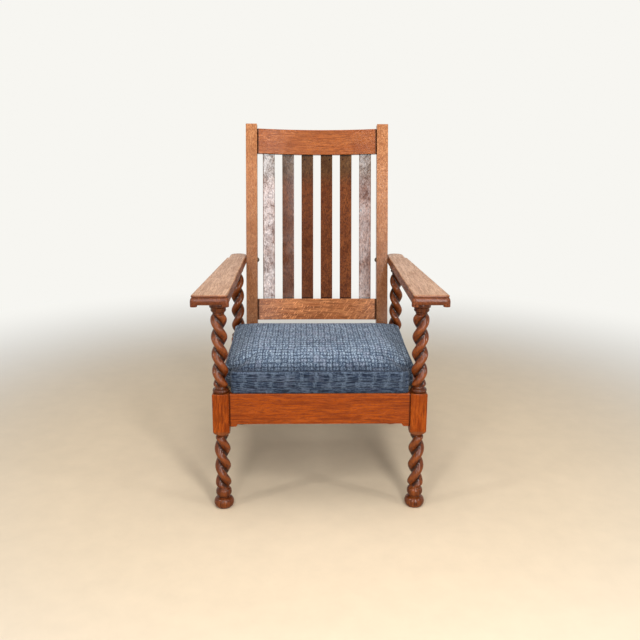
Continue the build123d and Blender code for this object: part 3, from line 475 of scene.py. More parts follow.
def chenille(name, colours, rib, block):
    """Ribbed cloth from the piece's own attributes, in metres.

    On the top panel the ribs run from front to back and are counted by across_top; on the band
    they run round the seat and are counted by across_band. A rib holds two strands. Dark wavy
    furrows part the ribs, broken ones part the blocks along a rib of the top, and each block has
    its own tint. The band's blocks are twice as long and show pale slubs in place of those furrows.
    """
    dark, middle, pale, mauve = colours
    finish = Finish(name)
    height = finish.attribute("over_seam")
    on_top = height.between(-0.0006, 0.0006)

    def choose(top, band):
        return finish.attribute(top) * on_top + finish.attribute(band) * (1 - on_top)

    places = {0: choose("across_top", "across_band"), 1: choose("along_top", "along_band"), 2: on_top}
    cloth = finish.node("ShaderNodeCombineXYZ", None, places)
    u, v, _ = finish.parts(cloth)

    def yarn_noise(stretch, scale, detail, roughness):
        return finish.noise(finish.vector("MULTIPLY", cloth, (1.0, stretch, 1.0)), scale, detail, roughness)

    sway = finish.noise(cloth, 17.0, 2.0) - 0.5
    flutter = finish.noise(cloth, 70.0, 2.0, 0.6) - 0.5
    across = (u + sway * 0.011 + flutter * 0.007) / rib
    row = across.whole()
    along = (v + flutter * 0.010) / (block * (1 - on_top * 0.5)) + finish.chance(row, 0.0) * 0.3
    rib_edge = (across.fraction() - 0.5).size() * 2
    block_edge = (along.fraction() - 0.5).size() * 2
    wear = finish.noise(cloth, 95.0, 3.0, 0.65).between(0.36, 0.62)
    strand = yarn_noise(0.07, 400.0, 2.0, 0.55)
    yarn = yarn_noise(0.7, 260.0, 3.0, 0.7)
    tint = finish.chance(row, along.whole())
    half_tint = finish.chance((across * 2).whole(), along.whole() + 7.0)
    light = strand.between(0.42, 0.60) * (0.65 - on_top * 0.3)
    light = light + yarn.between(0.44, 0.60) * (on_top * 0.38 + 0.25)
    strand_edge = ((across * 2).fraction() - 0.5).size() * 2
    spot = (1 - strand_edge.between(0.25, 0.95)) * (1 - block_edge.between(0.2, 0.9)) * on_top
    light = light + tint * 0.2 + half_tint * 0.35 + spot * 0.32 - 0.40
    tone = finish.colour(middle, pale, light)
    tone = finish.colour(tone, mauve, tint.between(0.75, 0.9) * yarn.between(0.4, 0.6) * 0.4)
    tone = finish.colour(tone, dark, yarn.between(0.51, 0.40) * (on_top * 0.35 + 0.25))
    tone = finish.colour(tone, dark, strand.between(0.50, 0.38) * (1 - on_top) * 0.7)
    tone = finish.colour(tone, dark, finish.noise(cloth, 13.0, 2.0).between(0.50, 0.70) * 0.25)
    furrow = rib_edge.between(0.56, 0.98)
    step = block_edge.between(0.45, 0.95) * wear * on_top
    between_strands = (1 - rib_edge).between(0.72, 1.0) * wear
    gap = furrow * (wear * 0.5 + 0.25) * (on_top * 0.35 + 0.65) + step * 0.7 + between_strands * 0.45
    tone = finish.colour(tone, dark, gap.least(0.9))
    band_height = finish.attribute("across_band")
    slub = (1 - block_edge).between(0.62, 0.9) * yarn.between(0.36, 0.56) * band_height.between(0.012, 0.022)
    tone = finish.colour(tone, pale, slub * (1 - on_top) * 0.6)
    blotch = finish.noise(cloth, 42.0, 2.0).between(0.48, 0.62) * band_height.between(0.020, 0.008)
    tone = finish.colour(tone, shade(dark, 0.8), blotch * (1 - on_top) * 0.7)
    seam = 1 - (height + 0.0022).size().between(0.0008, 0.0024)
    tone = finish.colour(tone, pale, seam * yarn.between(0.42, 0.60) * 0.45)
    # A dark line just over the seam: painted shade in the seam's crease, with a groove in the bump.
    groove = 1 - (height - 0.0012).size().between(0.0006, 0.0026)
    tone = finish.colour(tone, dark, groove * 0.45)
    # The front of the band and the top's front slope are darkened as painted shade.
    shaded = finish.vector("MULTIPLY", tone, (0.22, 0.24, 0.28))
    tone = finish.colour(shaded, tone, finish.attribute("off_front"))
    raised = (1 - furrow) * 0.8 + (1 - step) * 0.35 + strand * 0.4 + yarn * 0.4
    finish.bump(raised - between_strands * 0.2 - groove * 0.5, 0.0026, 0.75)
    looks = {"Specular_IOR_Level": 0.2, "Sheen_Weight": 0.05, "Sheen_Roughness": 0.5}
    return finish.set(Base_Color=tone, Roughness=0.9, **looks)


def plain_timber(name, tones, turn=(0, 0, 0)):
    """Unvarnished softwood: pale bands and thin darker rings along the grain."""
    finish = Finish(name)
    place = finish.place(turn)
    long = finish.vector("MULTIPLY", place, (1.0, 1.0, 0.05))
    ring = finish.noise(long, 110.0, 3.0, 0.6)
    fibre = finish.noise(long, 900.0, 2.0)
    tone = finish.colour(tones[0], tones[1], ring.between(0.35, 0.65))
    tone = finish.colour(tone, shade(tones[0], 0.7), fibre.between(0.55, 0.75) * 0.4)
    finish.bump(fibre, 0.0004, 0.5)
    return finish.set(Base_Color=tone, Roughness=0.78 + fibre * 0.1)


def metal(name, tone, rough, specks):
    """Worn metal: blotches of tarnish over a plain tone."""
    finish = Finish(name)
    place = finish.place()
    blotch = finish.noise(place, 260.0, 4.0, 0.6)
    shade = finish.colour(tone, specks, blotch.between(0.45, 0.7))
    finish.bump(blotch, 0.0002, 0.4)
    return finish.set(Base_Color=shade, Metallic=1.0, Roughness=blotch * 0.25 + rough)


def coarse_cloth(name, tones, scale, turn=(0, 0, 0)):
    """Plain weave: two sets of threads, one across the other, as a product of sines."""
    finish = Finish(name)
    place = finish.place(turn)
    x, y, _ = finish.parts(place)
    weft = (x * scale).wave() * 0.5 + 0.5
    warp = (y * scale).wave() * 0.5 + 0.5
    fuzz = finish.noise(place, scale * 0.4, 2.0)
    thread = weft * warp + (1 - weft) * (1 - warp)
    tone = finish.colour(tones[0], tones[1], thread * 0.7 + fuzz * 0.4)
    finish.bump(thread, 0.0004, 0.6)
    return finish.set(Base_Color=tone, Roughness=0.92)


# Sizes and colours that a user may change


def length(name, description, default):
    """A length in metres."""
    kind = {"min": 0.0, "subtype": "DISTANCE", "unit": "LENGTH", "precision": 4}
    return FloatProperty(name=name, description=description, default=default, **kind)


def tint(name, description, default):
    """A linear colour."""
    kind = {"size": 3, "min": 0.0, "max": 1.0, "subtype": "COLOR"}
    return FloatVectorProperty(name=name, description=description, default=default, **kind)


class ChairPostSizes(bpy.types.PropertyGroup):
    strand: length("Strand", "Radius of each of the two round strands of a twist", 0.0138)
    strand_offset: length("Strand offset", "Distance from the post's axis to a strand's centre", 0.0098)
    groove: length("Groove", "Radius at the bottom of the groove between the strands", 0.0110)
    run_out: length("Run-out", "Length over which a twist swells from its collar", 0.011)
    upper_rise: length("Upper rise", "Height of half a turn between block and arm, front", 0.051)
    lower_rise: length("Lower rise", "Height of half a turn below the seat", 0.055)
    rear_rise: length("Rear rise", "Height of half a turn between block and arm, rear", 0.0555)
    sides: IntProperty(
        name="Sides", description="Points round a post, a multiple of eight", default=128, min=32, max=256
    )


class ChairBoardSizes(bpy.types.PropertyGroup):
    arris: length("Arris", "Radius of the rounded edges of rails and stiles", 0.0016)
    slat_width: length("Slat width", "Width of a slat of the back", 0.0425)
    slat_thickness: length("Slat thickness", "Thickness of a slat of the back", 0.008)
    slat_pitch: length("Slat pitch", "Distance between neighbouring slats", 0.07)


class ChairSeatSizes(bpy.types.PropertyGroup):
    seam: length("Seam height", "Height of the top seam over the seat rails", 0.063)
    crown: length("Crown", "Rise of the top from the seam to the ridge", 0.0345)
    swell: length("Swell", "Most that a point of the cloth moves when the seat is filled", 0.004)
    mesh_step: length("Mesh step", "Distance between the points of the cloth", 0.006)
    rib: length("Rib", "Width of one rib of the cloth", 0.019)
    block: length("Block", "Length of a woven block of the band, twice that of one on the top", 0.042)


class ChairColours(bpy.types.PropertyGroup):
    oak_dark: tint("Oak, dark", "Streaks of the back's and arms' oak", (0.22, 0.056, 0.014))
    oak_middle: tint("Oak, middle", "Main tone of the back's and arms' oak", (0.42, 0.125, 0.034))
    oak_light: tint("Oak, light", "Pale bands and flecks of the back's and arms' oak", (0.60, 0.235, 0.085))
    # The arms' tops are paler and greyer than the oak: wear, and a painted sheen.
    worn_dark: tint("Arm tops, dark", "Streaks of the worn tops of the arms", (0.23, 0.095, 0.038))
    worn_middle: tint("Arm tops, middle", "Main tone of the worn tops of the arms", (0.44, 0.205, 0.097))
    worn_light: tint("Arm tops, light", "Pale bands of the worn tops of the arms", (0.60, 0.33, 0.175))
    deep_dark: tint("Rails, dark", "Streaks of the seat rails and blocks", (0.125, 0.017, 0.0015))
    deep_middle: tint("Rails, middle", "Main tone of the seat rails and blocks", (0.25, 0.040, 0.003))
    deep_light: tint("Rails, light", "Pale bands of the seat rails and blocks", (0.37, 0.080, 0.009))
    post_dark: tint("Posts, dark", "Darkest tone of the turned posts", (0.036, 0.006, 0.0015))
    post_middle: tint("Posts, middle", "Main tone of the turned posts", (0.122, 0.023, 0.0035))
    post_light: tint("Posts, light", "Palest tone of the turned posts", (0.27, 0.068, 0.013))
    slat_dark: tint("Slats, dark", "Darkest tone of the slats", (0.042, 0.009, 0.003))
    slat_middle: tint("Slats, middle", "Main tone of the slats", (0.110, 0.023, 0.004))
    slat_light: tint("Slats, light", "Palest tone of the slats", (0.24, 0.068, 0.015))
    cloth_dark: tint("Cloth, dark", "Furrows of the seat's cloth", (0.012, 0.023, 0.050))
    cloth_middle: tint("Cloth, middle", "Main blue of the seat's cloth", (0.055, 0.095, 0.168))
    cloth_pale: tint("Cloth, pale", "Pale strands of the seat's cloth", (0.43, 0.525, 0.62))
    cloth_mauve: tint("Cloth, mauve", "Mauve strands of the seat's cloth", (0.26, 0.24, 0.33))


class ChairStageSettings(bpy.types.PropertyGroup):
    floor: tint("Floor", "Colour of the floor near the chair", (0.68, 0.55, 0.39))
    backdrop: tint("Backdrop", "Colour of the floor far away and of the sky", (0.93, 0.92, 0.88))
    sky: FloatProperty(
        name="Sky", description="Strength of the light from all round", default=0.24, min=0.0, max=4.0
    )
    lamps: FloatProperty(
        name="Lamps", description="Factor on the power of every soft lamp", default=1.0, min=0.0, max=10.0
    )


def tones_of(context, name, endings=("dark", "middle", "light")):
    """The colours of one material, from dark to light."""
    colours = context.scene.chair_colours
    return [tuple(getattr(colours, f"{name}_{ending}")) for ending in endings]


def dress(piece, body, slot_name, material, *nodes):
    """Gives a finished piece its material and its body, and hides the nodes that it stands for."""
    piece.data.materials.append(material)
    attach(piece, body)
    if nodes:
        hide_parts(*nodes)
    return piece


def repaint(material, *nodes):
    """A CAD node that stays gets a better material."""
    for node in nodes:
        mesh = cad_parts[node].data
        mesh.materials.clear()
        mesh.materials.append(material)


# Turned posts


def half_round(bottom, top, root, crest, count=14):
    """Rows (height, radius) of a half-round ring: root plus the swell times sqrt(1 - t^2), t from -1 to 1."""
    t = np.sin(np.linspace(-math.pi / 2, math.pi / 2, count))
    height = (bottom + top) / 2 + t * (top - bottom) / 2
    return np.stack([height, root + (crest - root) * np.sqrt(np.maximum(1 - t**2, 0))], axis=-1)


def plain_rows(*parts):
    """Heights and radii of a round profile, from parts that are rows (height, radius)."""
    profile = np.concatenate(parts)
    return profile[:, 0], profile[:, 1:]


def round_angles(sides):
    return np.arange(sides) * 2 * math.pi / sides


def twist_radius(height, angle, sizes, bottom, top, rise, start, hand):
    """Radius of two wound strands at a height and an angle.

    About the nearer strand's centre line the radius is e cos p + sqrt(R^2 - e^2 sin^2 p), where p is
    the angle from it, e the strand's offset and R its radius. In the groove it follows a small circle
    that touches both strands. Near both ends the twist gives way to a round neck.
    """
    strand, offset, groove = sizes.strand, sizes.strand_offset, sizes.groove
    end = np.minimum(height - bottom, top - height) / sizes.run_out
    swell = np.sqrt(np.clip(1 - (1 - np.clip(end, 0, 1)) ** 2, 0, 1))
    turn = math.radians(start) + hand * math.pi * (height - bottom) / rise
    p = np.mod(angle - turn + math.pi / 2, math.pi) - math.pi / 2
    round_part = offset * np.cos(p) + np.sqrt(strand**2 - (offset * np.sin(p)) ** 2)
    centre = math.sqrt((strand + groove) ** 2 - offset**2)
    share = strand / (strand + groove)
    reach = math.atan2(offset * (1 - share), centre * share)
    q = np.minimum(math.pi / 2 - np.abs(p), reach)
    hollow = centre * np.cos(q) - np.sqrt(np.maximum(groove**2 - (centre * np.sin(q)) ** 2, 0))
    radius = np.where(math.pi / 2 - np.abs(p) < reach, hollow, round_part)
    return NECK_RADIUS * (1 - swell) + radius * swell


def twist_rows(sizes, bottom, top, rise, start, hand):
    height = np.linspace(bottom, top, int((top - bottom) / 0.0013))
    angle = round_angles(sizes.sides)[None, :]
    return height, twist_radius(height[:, None], angle, sizes, bottom, top, rise, start, hand)


def square_radius(sides, half, bevel):
    """Radius of a square with bevelled corners: the nearer of the side, half / cos, and the bevel's line."""
    to_side = np.abs(np.mod(round_angles(sides) + math.pi / 4, math.pi / 2) - math.pi / 4)
    to_corner = math.pi / 4 - to_side
    return np.minimum(half / np.cos(to_side), (half * math.sqrt(2) - bevel) / np.cos(to_corner))


def block_rows(sides, rear):
    """Square block. The front one rises from a turned shoulder that trims it, the rear one from a bevel."""
    square = square_radius(sides, BLOCK_HALF, 0.0016)
    soft = square_radius(sides, BLOCK_HALF - 0.0012, 0.0022)
    if rear:
        height = BLOCK_BOTTOM + np.array([0, 0, 0.0035, 0.0045])
        radius = np.stack([np.full(sides, 0.004), soft - 0.003, soft + 0.0008, square])
    else:
        height = np.linspace(0.2372, BLOCK_BOTTOM + 0.0065, 40)
        t = np.clip((height - height[0]) / 0.0205, 0, 1)
        shoulder = 0.0172 + 0.0168 * np.sqrt(1 - (1 - t) ** 2)
        radius = np.minimum(square[None, :], shoulder[:, None])
    edge = RAIL_TOP - np.array([0.0024, 0.0016, 0.0007, 0])
    top = np.array([BLOCK_BOTTOM + 0.008, 0.31, *edge])
    rounded = np.stack([square, square, square, square, (square + soft) / 2, soft])
    return np.concatenate([height, top]), np.concatenate([radius, rounded])


def foot_rows():
    """Ball foot, ankle, half-round ring and collar, in heights from the floor."""
    ball = half_round(-0.002, 0.0318, 0.0165, 0.0299, 26)
    ball = ball[ball[:, 0] > 0.0008]
    rim = ball[0, 1]
    return plain_rows(
        [(0.0, rim - 0.0022), (0.0006, rim - 0.0006)],
        ball[:-4],
        [(0.0302, 0.0170), (0.0308, 0.0156), (0.0325, 0.0150), (0.0345, 0.0150), (0.0358, 0.0156)],
        half_round(0.0362, 0.0598, 0.0178, 0.0236, 18),
        [(0.0604, 0.0172), (0.0612, 0.0168)],
        half_round(0.0614, 0.0650, 0.0160, 0.0172, 7),
    )


def crown_rows():
    """Half-round ring on the block with the fillet that the twist rises from."""
    rise = np.array([(0.0128, 0.0176), (0.0134, 0.0168), (0.0172, 0.0164), (0.0180, 0.0157)])
    return plain_rows(
        [(RAIL_TOP, 0.0222)],
        half_round(RAIL_TOP + 0.0004, RAIL_TOP + 0.0124, 0.0200, 0.0240, 16),
        rise + (RAIL_TOP, 0),
    )


def capital_rows():
    """Collar, ovolo, cove and disc under the arm."""
    disc = ARM_BOTTOM - 0.0115
    cove = np.linspace(0, math.pi / 2, 8)
    rise, swell = 1 - np.cos(cove), np.sin(cove)
    return plain_rows(
        half_round(disc - 0.0212, disc - 0.0166, 0.0156, 0.0172, 7),
        [(disc - 0.0160, 0.0166)],
        np.stack([disc - 0.0155 + 0.0065 * rise, 0.0170 + 0.0052 * swell], -1),
        [(disc - 0.0086, 0.0212)],
        np.stack([disc - 0.0082 + 0.0072 * swell, 0.0214 + 0.0040 * rise], -1),
        half_round(disc - 0.0004, ARM_BOTTOM + 0.0002, 0.0246, 0.0261, 12),
    )


def post_points(rows, sides):
    """Points round the Z axis, a ring for each height, and their radii, from rows (heights, radii)."""
    angle = round_angles(sides)
    height = np.concatenate([row_height for row_height, _ in rows])
    radius = np.concatenate([np.broadcast_to(radii, (len(heights), sides)) for heights, radii in rows])
    height = np.repeat(height[:, None], sides, 1)
    return np.stack([radius * np.cos(angle), radius * np.sin(angle), height], axis=-1), radius.ravel()


def post_attributes(height, radius):
    """crest is 0 at the bottom of a groove and 1 on a crest, and turned is 0 on the block and 1 elsewhere.

    crest is at most 0.6 on a foot, which keeps the painted highlight off it, and at most 0.18 on the
    capital under the arm, which darkens it as painted shade, and on the ring over the seat rail,
    which darkens it too. It is 0.7 on the block.
    """
    crest = np.clip((radius - 0.0125) / (0.0234 - 0.0125), 0, 1)
    # The capital under the arm is darkened as painted shade, and the ring over the seat rail with it.
    darkened_rings = (height > ARM_BOTTOM - 0.034) | ((height > RAIL_TOP) & (height < RAIL_TOP + 0.018))
    crest = np.where(darkened_rings, np.minimum(crest, 0.18), crest)
    crest = np.where(height < 0.066, np.minimum(crest, 0.6), crest)
    on_block = (height > BLOCK_BOTTOM - 0.004) & (height < RAIL_TOP - 0.0004) & (radius > 0.0228)
    return {"crest": np.where(on_block, 0.7, crest), "turned": 1.0 - on_block}


class CHAIR_OT_front_posts(bpy.types.Operator):
    """Turned front posts: ball foot, twist, square block, twist and capital"""

    bl_idname = "chair.front_posts"
    bl_label = "Front posts"

    def execute(self, context):
        sizes = context.scene.chair_posts
        edge = ("turned", tones_of(context, "deep"))
        looks = {"rough": 0.26, "shine": 0.05, "coat": 0.4, "coat_rough": 0.05}
        finish = oak("turned oak", tones_of(context, "post"), fleck=0.12, edge=edge, deep="crest", **looks)
        rows = [
            foot_rows(),
            twist_rows(sizes, TWIST_LOW, 0.2322, sizes.lower_rise, -49.0, 1),
            plain_rows(half_round(0.2323, 0.2371, 0.0160, 0.0172, 8)),
            block_rows(sizes.sides, False),
            crown_rows(),
            twist_rows(sizes, UPPER_TWIST_LOW, ARM_BOTTOM - CAPITAL_HEIGHT, sizes.upper_rise, 5.0, 1),
            capital_rows(),
        ]
        points, radius = post_points(rows, sizes.sides)
        shell = tube(points + (POST_X, FRONT_Y, 0))
        values = post_attributes(shell[0][:, 2], radius)
        for side, placed in both_sides(shell):
            post = put_mesh(f"front_post_{side}_turned", *placed, 40, values)
            dress(post, "frame", "dark_oak", finish, f"front_post_{side}")
        return {"FINISHED"}


class CHAIR_OT_rear_posts(bpy.types.Operator):
    """Rear posts with block, twist and capital, and the raked legs under them"""

    bl_idname = "chair.rear_posts"
    bl_label = "Rear posts"

    def execute(self, context):
        sizes = context.scene.chair_posts
        finish = bpy.data.materials["turned oak"]
        rows = [
            block_rows(sizes.sides, True),
            crown_rows(),
            twist_rows(sizes, UPPER_TWIST_LOW, ARM_BOTTOM - CAPITAL_HEIGHT, sizes.rear_rise, 81.0, -1),
            capital_rows(),
        ]
        post, post_radius = post_points(rows, sizes.sides)
        upward = np.array([0, -LEG_RUN, BLOCK_BOTTOM])
        reach = float(np.linalg.norm(upward))
        upward = upward / reach
        backward = np.array([0, upward[2], -upward[1]])
        knee = reach + LEG_SUNK - 0.021
        rows = [
            foot_rows(),
            twist_rows(sizes, TWIST_LOW, knee, sizes.lower_rise, 49.0, -1),
            plain_rows(half_round(knee, knee + 0.0048, 0.0160, 0.0172, 8)),
            plain_rows([(knee + 0.005, 0.0168), (knee + 0.026, 0.0178)]),
        ]
        leg, leg_radius = post_points(rows, sizes.sides)
        foot = np.array([0, LEG_RUN, 0]) - upward * LEG_SUNK
        leg = foot + leg[..., :1] * ACROSS + leg[..., 1:2] * backward + leg[..., 2:] * upward
        leg[..., 2] = np.clip(leg[..., 2], 0, BLOCK_BOTTOM + 0.0005)
        sides = [both_sides(tube(points + (POST_X, REAR_Y, 0))) for points in (post, leg)]
        for pair in zip(*sides):
            for part, radius, (side, placed) in zip(("post", "leg"), (post_radius, leg_radius), pair):
                values = post_attributes(placed[0][:, 2], radius)
                piece = put_mesh(f"rear_{part}_{side}_turned", *placed, 40, values)
                dress(piece, "frame", "dark_oak", finish, f"rear_{part}_{side}")
        return {"FINISHED"}


# Boards


def rail_line(half):
    """Stations of a seat rail, dense near its ends, with the middle and the half of its height at each.

    Its lower edge is level, and eased down 8 mm near each end by a smooth step.
    """
    ends = np.linspace(half - 0.034, half, 16)
    stations = np.concatenate([-ends[::-1], ends])
    t = np.clip((np.abs(stations) - (half - 0.026)) / 0.007, 0, 1)
    low = RAIL_TOP - RAIL_HEIGHT - 0.008 * t * t * (3 - 2 * t)
    return stations, (RAIL_TOP + low) / 2, (RAIL_TOP - low) / 2


class CHAIR_OT_seat_rails(bpy.types.Operator):
    """Four seat rails between the blocks"""

    bl_idname = "chair.seat_rails"
    bl_label = "Seat rails"

    def execute(self, context):
        arris = context.scene.chair_boards.arris
        tones = tones_of(context, "deep")
        along_x = oak("rail oak", tones, turn=(0, math.pi / 2, 0), fleck=0.2, figure=0.35)
        along_y = oak("side rail oak", tones, turn=(math.pi / 2, 0, 0), fleck=0.2, figure=0.35)
        upward = (0, 0, 1)
        half = POST_X - BLOCK_HALF
        x, middle, half_height = rail_line(half)
        path = np.stack([x, np.full_like(x, FRONT_Y - BLOCK_HALF + RAIL_INSET + RAIL_HALF), middle], -1)
        put_board(
            "front_rail", "oak", along_x, path, (0, 1, 0), upward, RAIL_HALF, half_height, arris, RAIL_JOINT
        )
        y = REAR_Y - BLOCK_HALF + RAIL_HALF
        path = [[end, y, RAIL_TOP - REAR_RAIL_HALF] for end in (-half, half)]
        put_board(
            "rear_rail", "oak", along_x, path, (0, 1, 0), upward, RAIL_HALF, REAR_RAIL_HALF, arris, RAIL_JOINT
        )
        y, middle, half_height = rail_line((REAR_Y - FRONT_Y) / 2 - BLOCK_HALF)
        for side, name in ((1, "right"), (-1, "left")):
            x = side * (POST_X + BLOCK_HALF - RAIL_INSET - RAIL_HALF)
            path = np.stack([np.full_like(y, x), y + (FRONT_Y + REAR_Y) / 2, middle], -1)
            shape = (path, ACROSS, upward, RAIL_HALF, half_height, arris, RAIL_JOINT)
            put_board(f"side_rail_{name}", "oak", along_y, *shape)
        return {"FINISHED"}


def back_point(x, depth, height):
    """A point of the raked back: x across, depth behind the stiles' faces, height up along the stile."""
    x, depth, height = (part[..., None] for part in np.broadcast_arrays(x, depth, height))
    return BACK_ORIGIN + x * ACROSS + depth * BACK_IN + height * BACK_UP


def bow(x):
    """How deep the bowed rails' middle line, a circle through both stiles, lies at x, and the way inward."""
    rise = np.sqrt(BOW_RADIUS**2 - x**2)
    slope = (x / rise)[..., None]
    inward = (slope * ACROSS + BACK_IN) / np.sqrt(1 + slope**2)
    return BOW_MIDDLE + BOW_DEPTH - (BOW_RADIUS - rise), inward


class CHAIR_OT_back(bpy.types.Operator):
    """Raked stiles, two bowed rails and the slats between them"""

    bl_idname = "chair.back"
    bl_label = "Back"

    def execute(self, context):
        self.put_stiles(context)
        self.put_rails(context)
        for index in range(6):
            self.put_slat(context, index)
        return {"FINISHED"}

    def put_stiles(self, context):
        """Each stile stands upright from its foot to the seat rails' top and leans back above it."""
        paled = [shade(tone, (0.90, 1.08, 1.35)) for tone in tones_of(context, "oak")]
        # The stiles' oak is paler and greyer than the rest of the back, and darker downwards, fully so below
        # 0.5 m: painted shade under the arms.
        fade = (0.5, 1.0, (0.62, 0.60, 0.60))
        finish = oak("stile oak", paled, turn=(-RAKE, 0, 0), fleck=0.3, figure=0.6, fade=fade)
        y = STILE_FRONT_Y + STILE_HALF
        bend = [[0, y, RAIL_TOP - 0.08], [0, y, RAIL_TOP], [0, y + 0.006 * math.tan(RAKE), RAIL_TOP + 0.006]]
        raked_half = STILE_HALF * math.cos(RAKE)
        path = np.array([*bend, back_point(0.0, raked_half, STILE_LENGTH)])
        level = np.array([[0, 1, 0], [0, 1, 0], [0, 1, 0], BACK_IN])
        half_depth = [STILE_HALF, STILE_HALF, STILE_HALF, raked_half]
        half_width = (STILE_OUTER - STILE_INNER) / 2
        for side, name in ((1, "right"), (-1, "left")):
            shifted = path + (side * (STILE_INNER + STILE_OUTER) / 2, 0, 0)
            shape = (shifted, ACROSS, level, half_width, half_depth, context.scene.chair_boards.arris)
            put_board(f"stile_{name}", "oak", finish, *shape)

    def put_rails(self, context):
        tones = tones_of(context, "oak")
        ruddy = [shade(tone, (0.71, 0.58, 0.42)) for tone in tones]
        figured = [shade(tone, factor) for tone, factor in zip(tones, (0.5, 0.8, 1.05))]
        turn = (0, math.pi / 2, 0)
        top = oak("top rail oak", ruddy, turn=turn, fleck=0.1, shift=(0, 0, 0.37))
        bottom = oak("bottom rail oak", figured, turn=turn, fleck=0.8, fleck_turn=0.95)
        x = np.linspace(-STILE_INNER, STILE_INNER, 61)
        depth, inward = bow(x)
        arris = context.scene.chair_boards.arris
        for name, (low, high), finish in (("bottom", BOTTOM_RAIL, bottom), ("top", TOP_RAIL, top)):
            path = back_point(x, depth, (low + high) / 2)
            shape = (path, inward, BACK_UP, 0.010, (high - low) / 2, arris, RAIL_JOINT)
            put_board(f"{name}_rail", "oak", finish, *shape)

    def put_slat(self, context, index):
        """A slat with its own tone and polish, a nail head near its top and, on the last one, a knot."""
        sizes = context.scene.chair_boards
        tones = [shade(tone, (0.85, 0.72, 0.75, 0.8, 0.98, 0.9)[index]) for tone in tones_of(context, "slat")]
        x = (index - 2.5) * sizes.slat_pitch
        depth, inward = bow(np.float64(x))
        sideways = np.cross(inward, BACK_UP)
        front = -inward * sizes.slat_thickness / 2
        aside = sideways * (0.011 if index % 2 else -0.011)
        nail = back_point(x, depth, STILE_LENGTH - 0.122) + front + aside
        marks = [(tuple(nail), 0.0028)]
        if index == 5:
            knot = back_point(x, depth, 0.475) + front - sideways * 0.0155
            marks.append((tuple(knot), 0.0052))
        finish = oak(
            f"slat oak {index + 1}",
            tones,
            turn=(-RAKE, 0, 0),
            shift=(0.3 * index, 0, 0.2 * index),
            fleck=0.25,
            figure=0.7,
            marks=marks,
            # The slats' tops take a grey-blue tint: a painted reflection, with painted shade near the top
            # rail.
            fade=(0.975, 0.90, (0.75, 1.25, 1.9)),
            rough=0.38,
            shine=0.05,
            coat=(1.0, 0.9, 0.15, 0.04, 0.12, 1.0)[index],
            coat_rough=0.1,
            worn=1.25,
        )
        path = back_point(x, depth, np.array([BOTTOM_RAIL[1] - 0.01, TOP_RAIL[0] + 0.01]))
        shape = (path, sideways, inward, sizes.slat_width / 2, sizes.slat_thickness / 2, 0.0014, SLAT_JOINT)
        put_board(f"slat_{index + 1}", "slat_oak", finish, *shape)


# Arms


def arc_points(centre, across, upward, start, end, count):
    """Points of an ellipse's arc with those two half axes, between two angles in degrees."""
    angle = np.radians(np.linspace(start, end, count))
    return np.stack([centre[0] + across * np.cos(angle), centre[1] + upward * np.sin(angle)], -1)


def fillet_points(before, corner, after, radius, count=8):
    """Quarter-like arc that rounds a corner of two straight edges."""
    before, corner, after = (np.asarray(p, float) for p in (before, corner, after))
    a = (before - corner) / np.linalg.norm(before - corner)
    b = (after - corner) / np.linalg.norm(after - corner)
    half = math.acos(float(np.clip(a @ b, -1, 1))) / 2
    centre = corner + (a + b) / np.linalg.norm(a + b) * radius / math.sin(half)
    start = corner + a * radius / math.tan(half) - centre
    end = corner + b * radius / math.tan(half) - centre
    first = math.atan2(start[1], start[0])
    sweep = (math.atan2(end[1], end[0]) - first + math.pi) % (2 * math.pi) - math.pi
    angle = first + sweep * np.linspace(0, 1, count)
    return centre + radius * np.stack([np.cos(angle), np.sin(angle)], -1)


def loop_normals(loop):
    """Outward normals of a closed anticlockwise loop: the chord through both neighbours, turned right."""
    chord = np.roll(loop, -1, 0) - np.roll(loop, 1, 0)
    normal = np.stack([chord[:, 1], -chord[:, 0]], -1)
    return normal / np.linalg.norm(normal, axis=1, keepdims=True)


def even_loop(loop, count):
    """The closed loop again, as that many points at even steps along it."""
    closed = np.concatenate([loop, loop[:1]])
    run = np.concatenate([[0], np.cumsum(np.linalg.norm(np.diff(closed, axis=0), axis=1))])
    steps = np.linspace(0, run[-1], count, endpoint=False)
    return np.stack([np.interp(steps, run, closed[:, 0]), np.interp(steps, run, closed[:, 1])], -1)


def arm_loop():
    """Plan of the right arm: straight inner edge, drawn-in outer edge, small hollow and round rear end."""
    inner, outer, front = STILE_OUTER, ARM_OUTER_X, ARM_FRONT_Y
    shoulder = (POST_X + 0.0355, REAR_Y - 0.0215)
    step = 0.007
    end_radius = (shoulder[0] - step - inner) / 2
    end_y = REAR_Y + 0.073 - end_radius
    loop = np.concatenate(
        [
            fillet_points((inner, end_y), (inner, front), (outer, front), 0.009),
            fillet_points((inner, front), (outer, front), shoulder, 0.009),
            [shoulder],
            arc_points((shoulder[0], shoulder[1] + step), step, step, 250, 190, 6),
            arc_points((inner + end_radius, end_y), end_radius, end_radius, 0, 180, 36),
        ]
    )
    return even_loop(loop, 560)


def arm_profile():
    """Edge of an arm from the underside up, as (outward, height).

    It is a half-round nosing, a quirk and, set back from the nosing, a round top edge.
    """
    nosing = arc_points((-0.0092, ARM_BOTTOM + 0.0122), 0.0102, 0.0122, -90, 52, 20)
    quirk = [(-0.0042, ARM_BOTTOM + 0.0226), (-0.0042, ARM_BOTTOM + 0.0236)]
    edge = arc_points((-0.0064, ARM_TOP - 0.0046), 0.0046, 0.0046, -30, 90, 12)
    return np.concatenate([[(-0.02, ARM_BOTTOM)], nosing, quirk, edge])


def lip_shell(x, y):
    """A small upright block with round corners under an arm, drawn in at its lower end."""
    height = ARM_BOTTOM + np.array([-0.0042, -0.0040, -0.0034, -0.0026, 0.0122])
    inset = np.array([0.0016, 0.0008, 0.0002, 0.0, 0.0])
    a, b = rounded_section(LIP_HALF - inset, LIP_HALF - inset, 0.0078 - inset)
    return tube(np.stack([x + a, y + b, np.repeat(height[:, None], a.shape[1], 1)], -1))


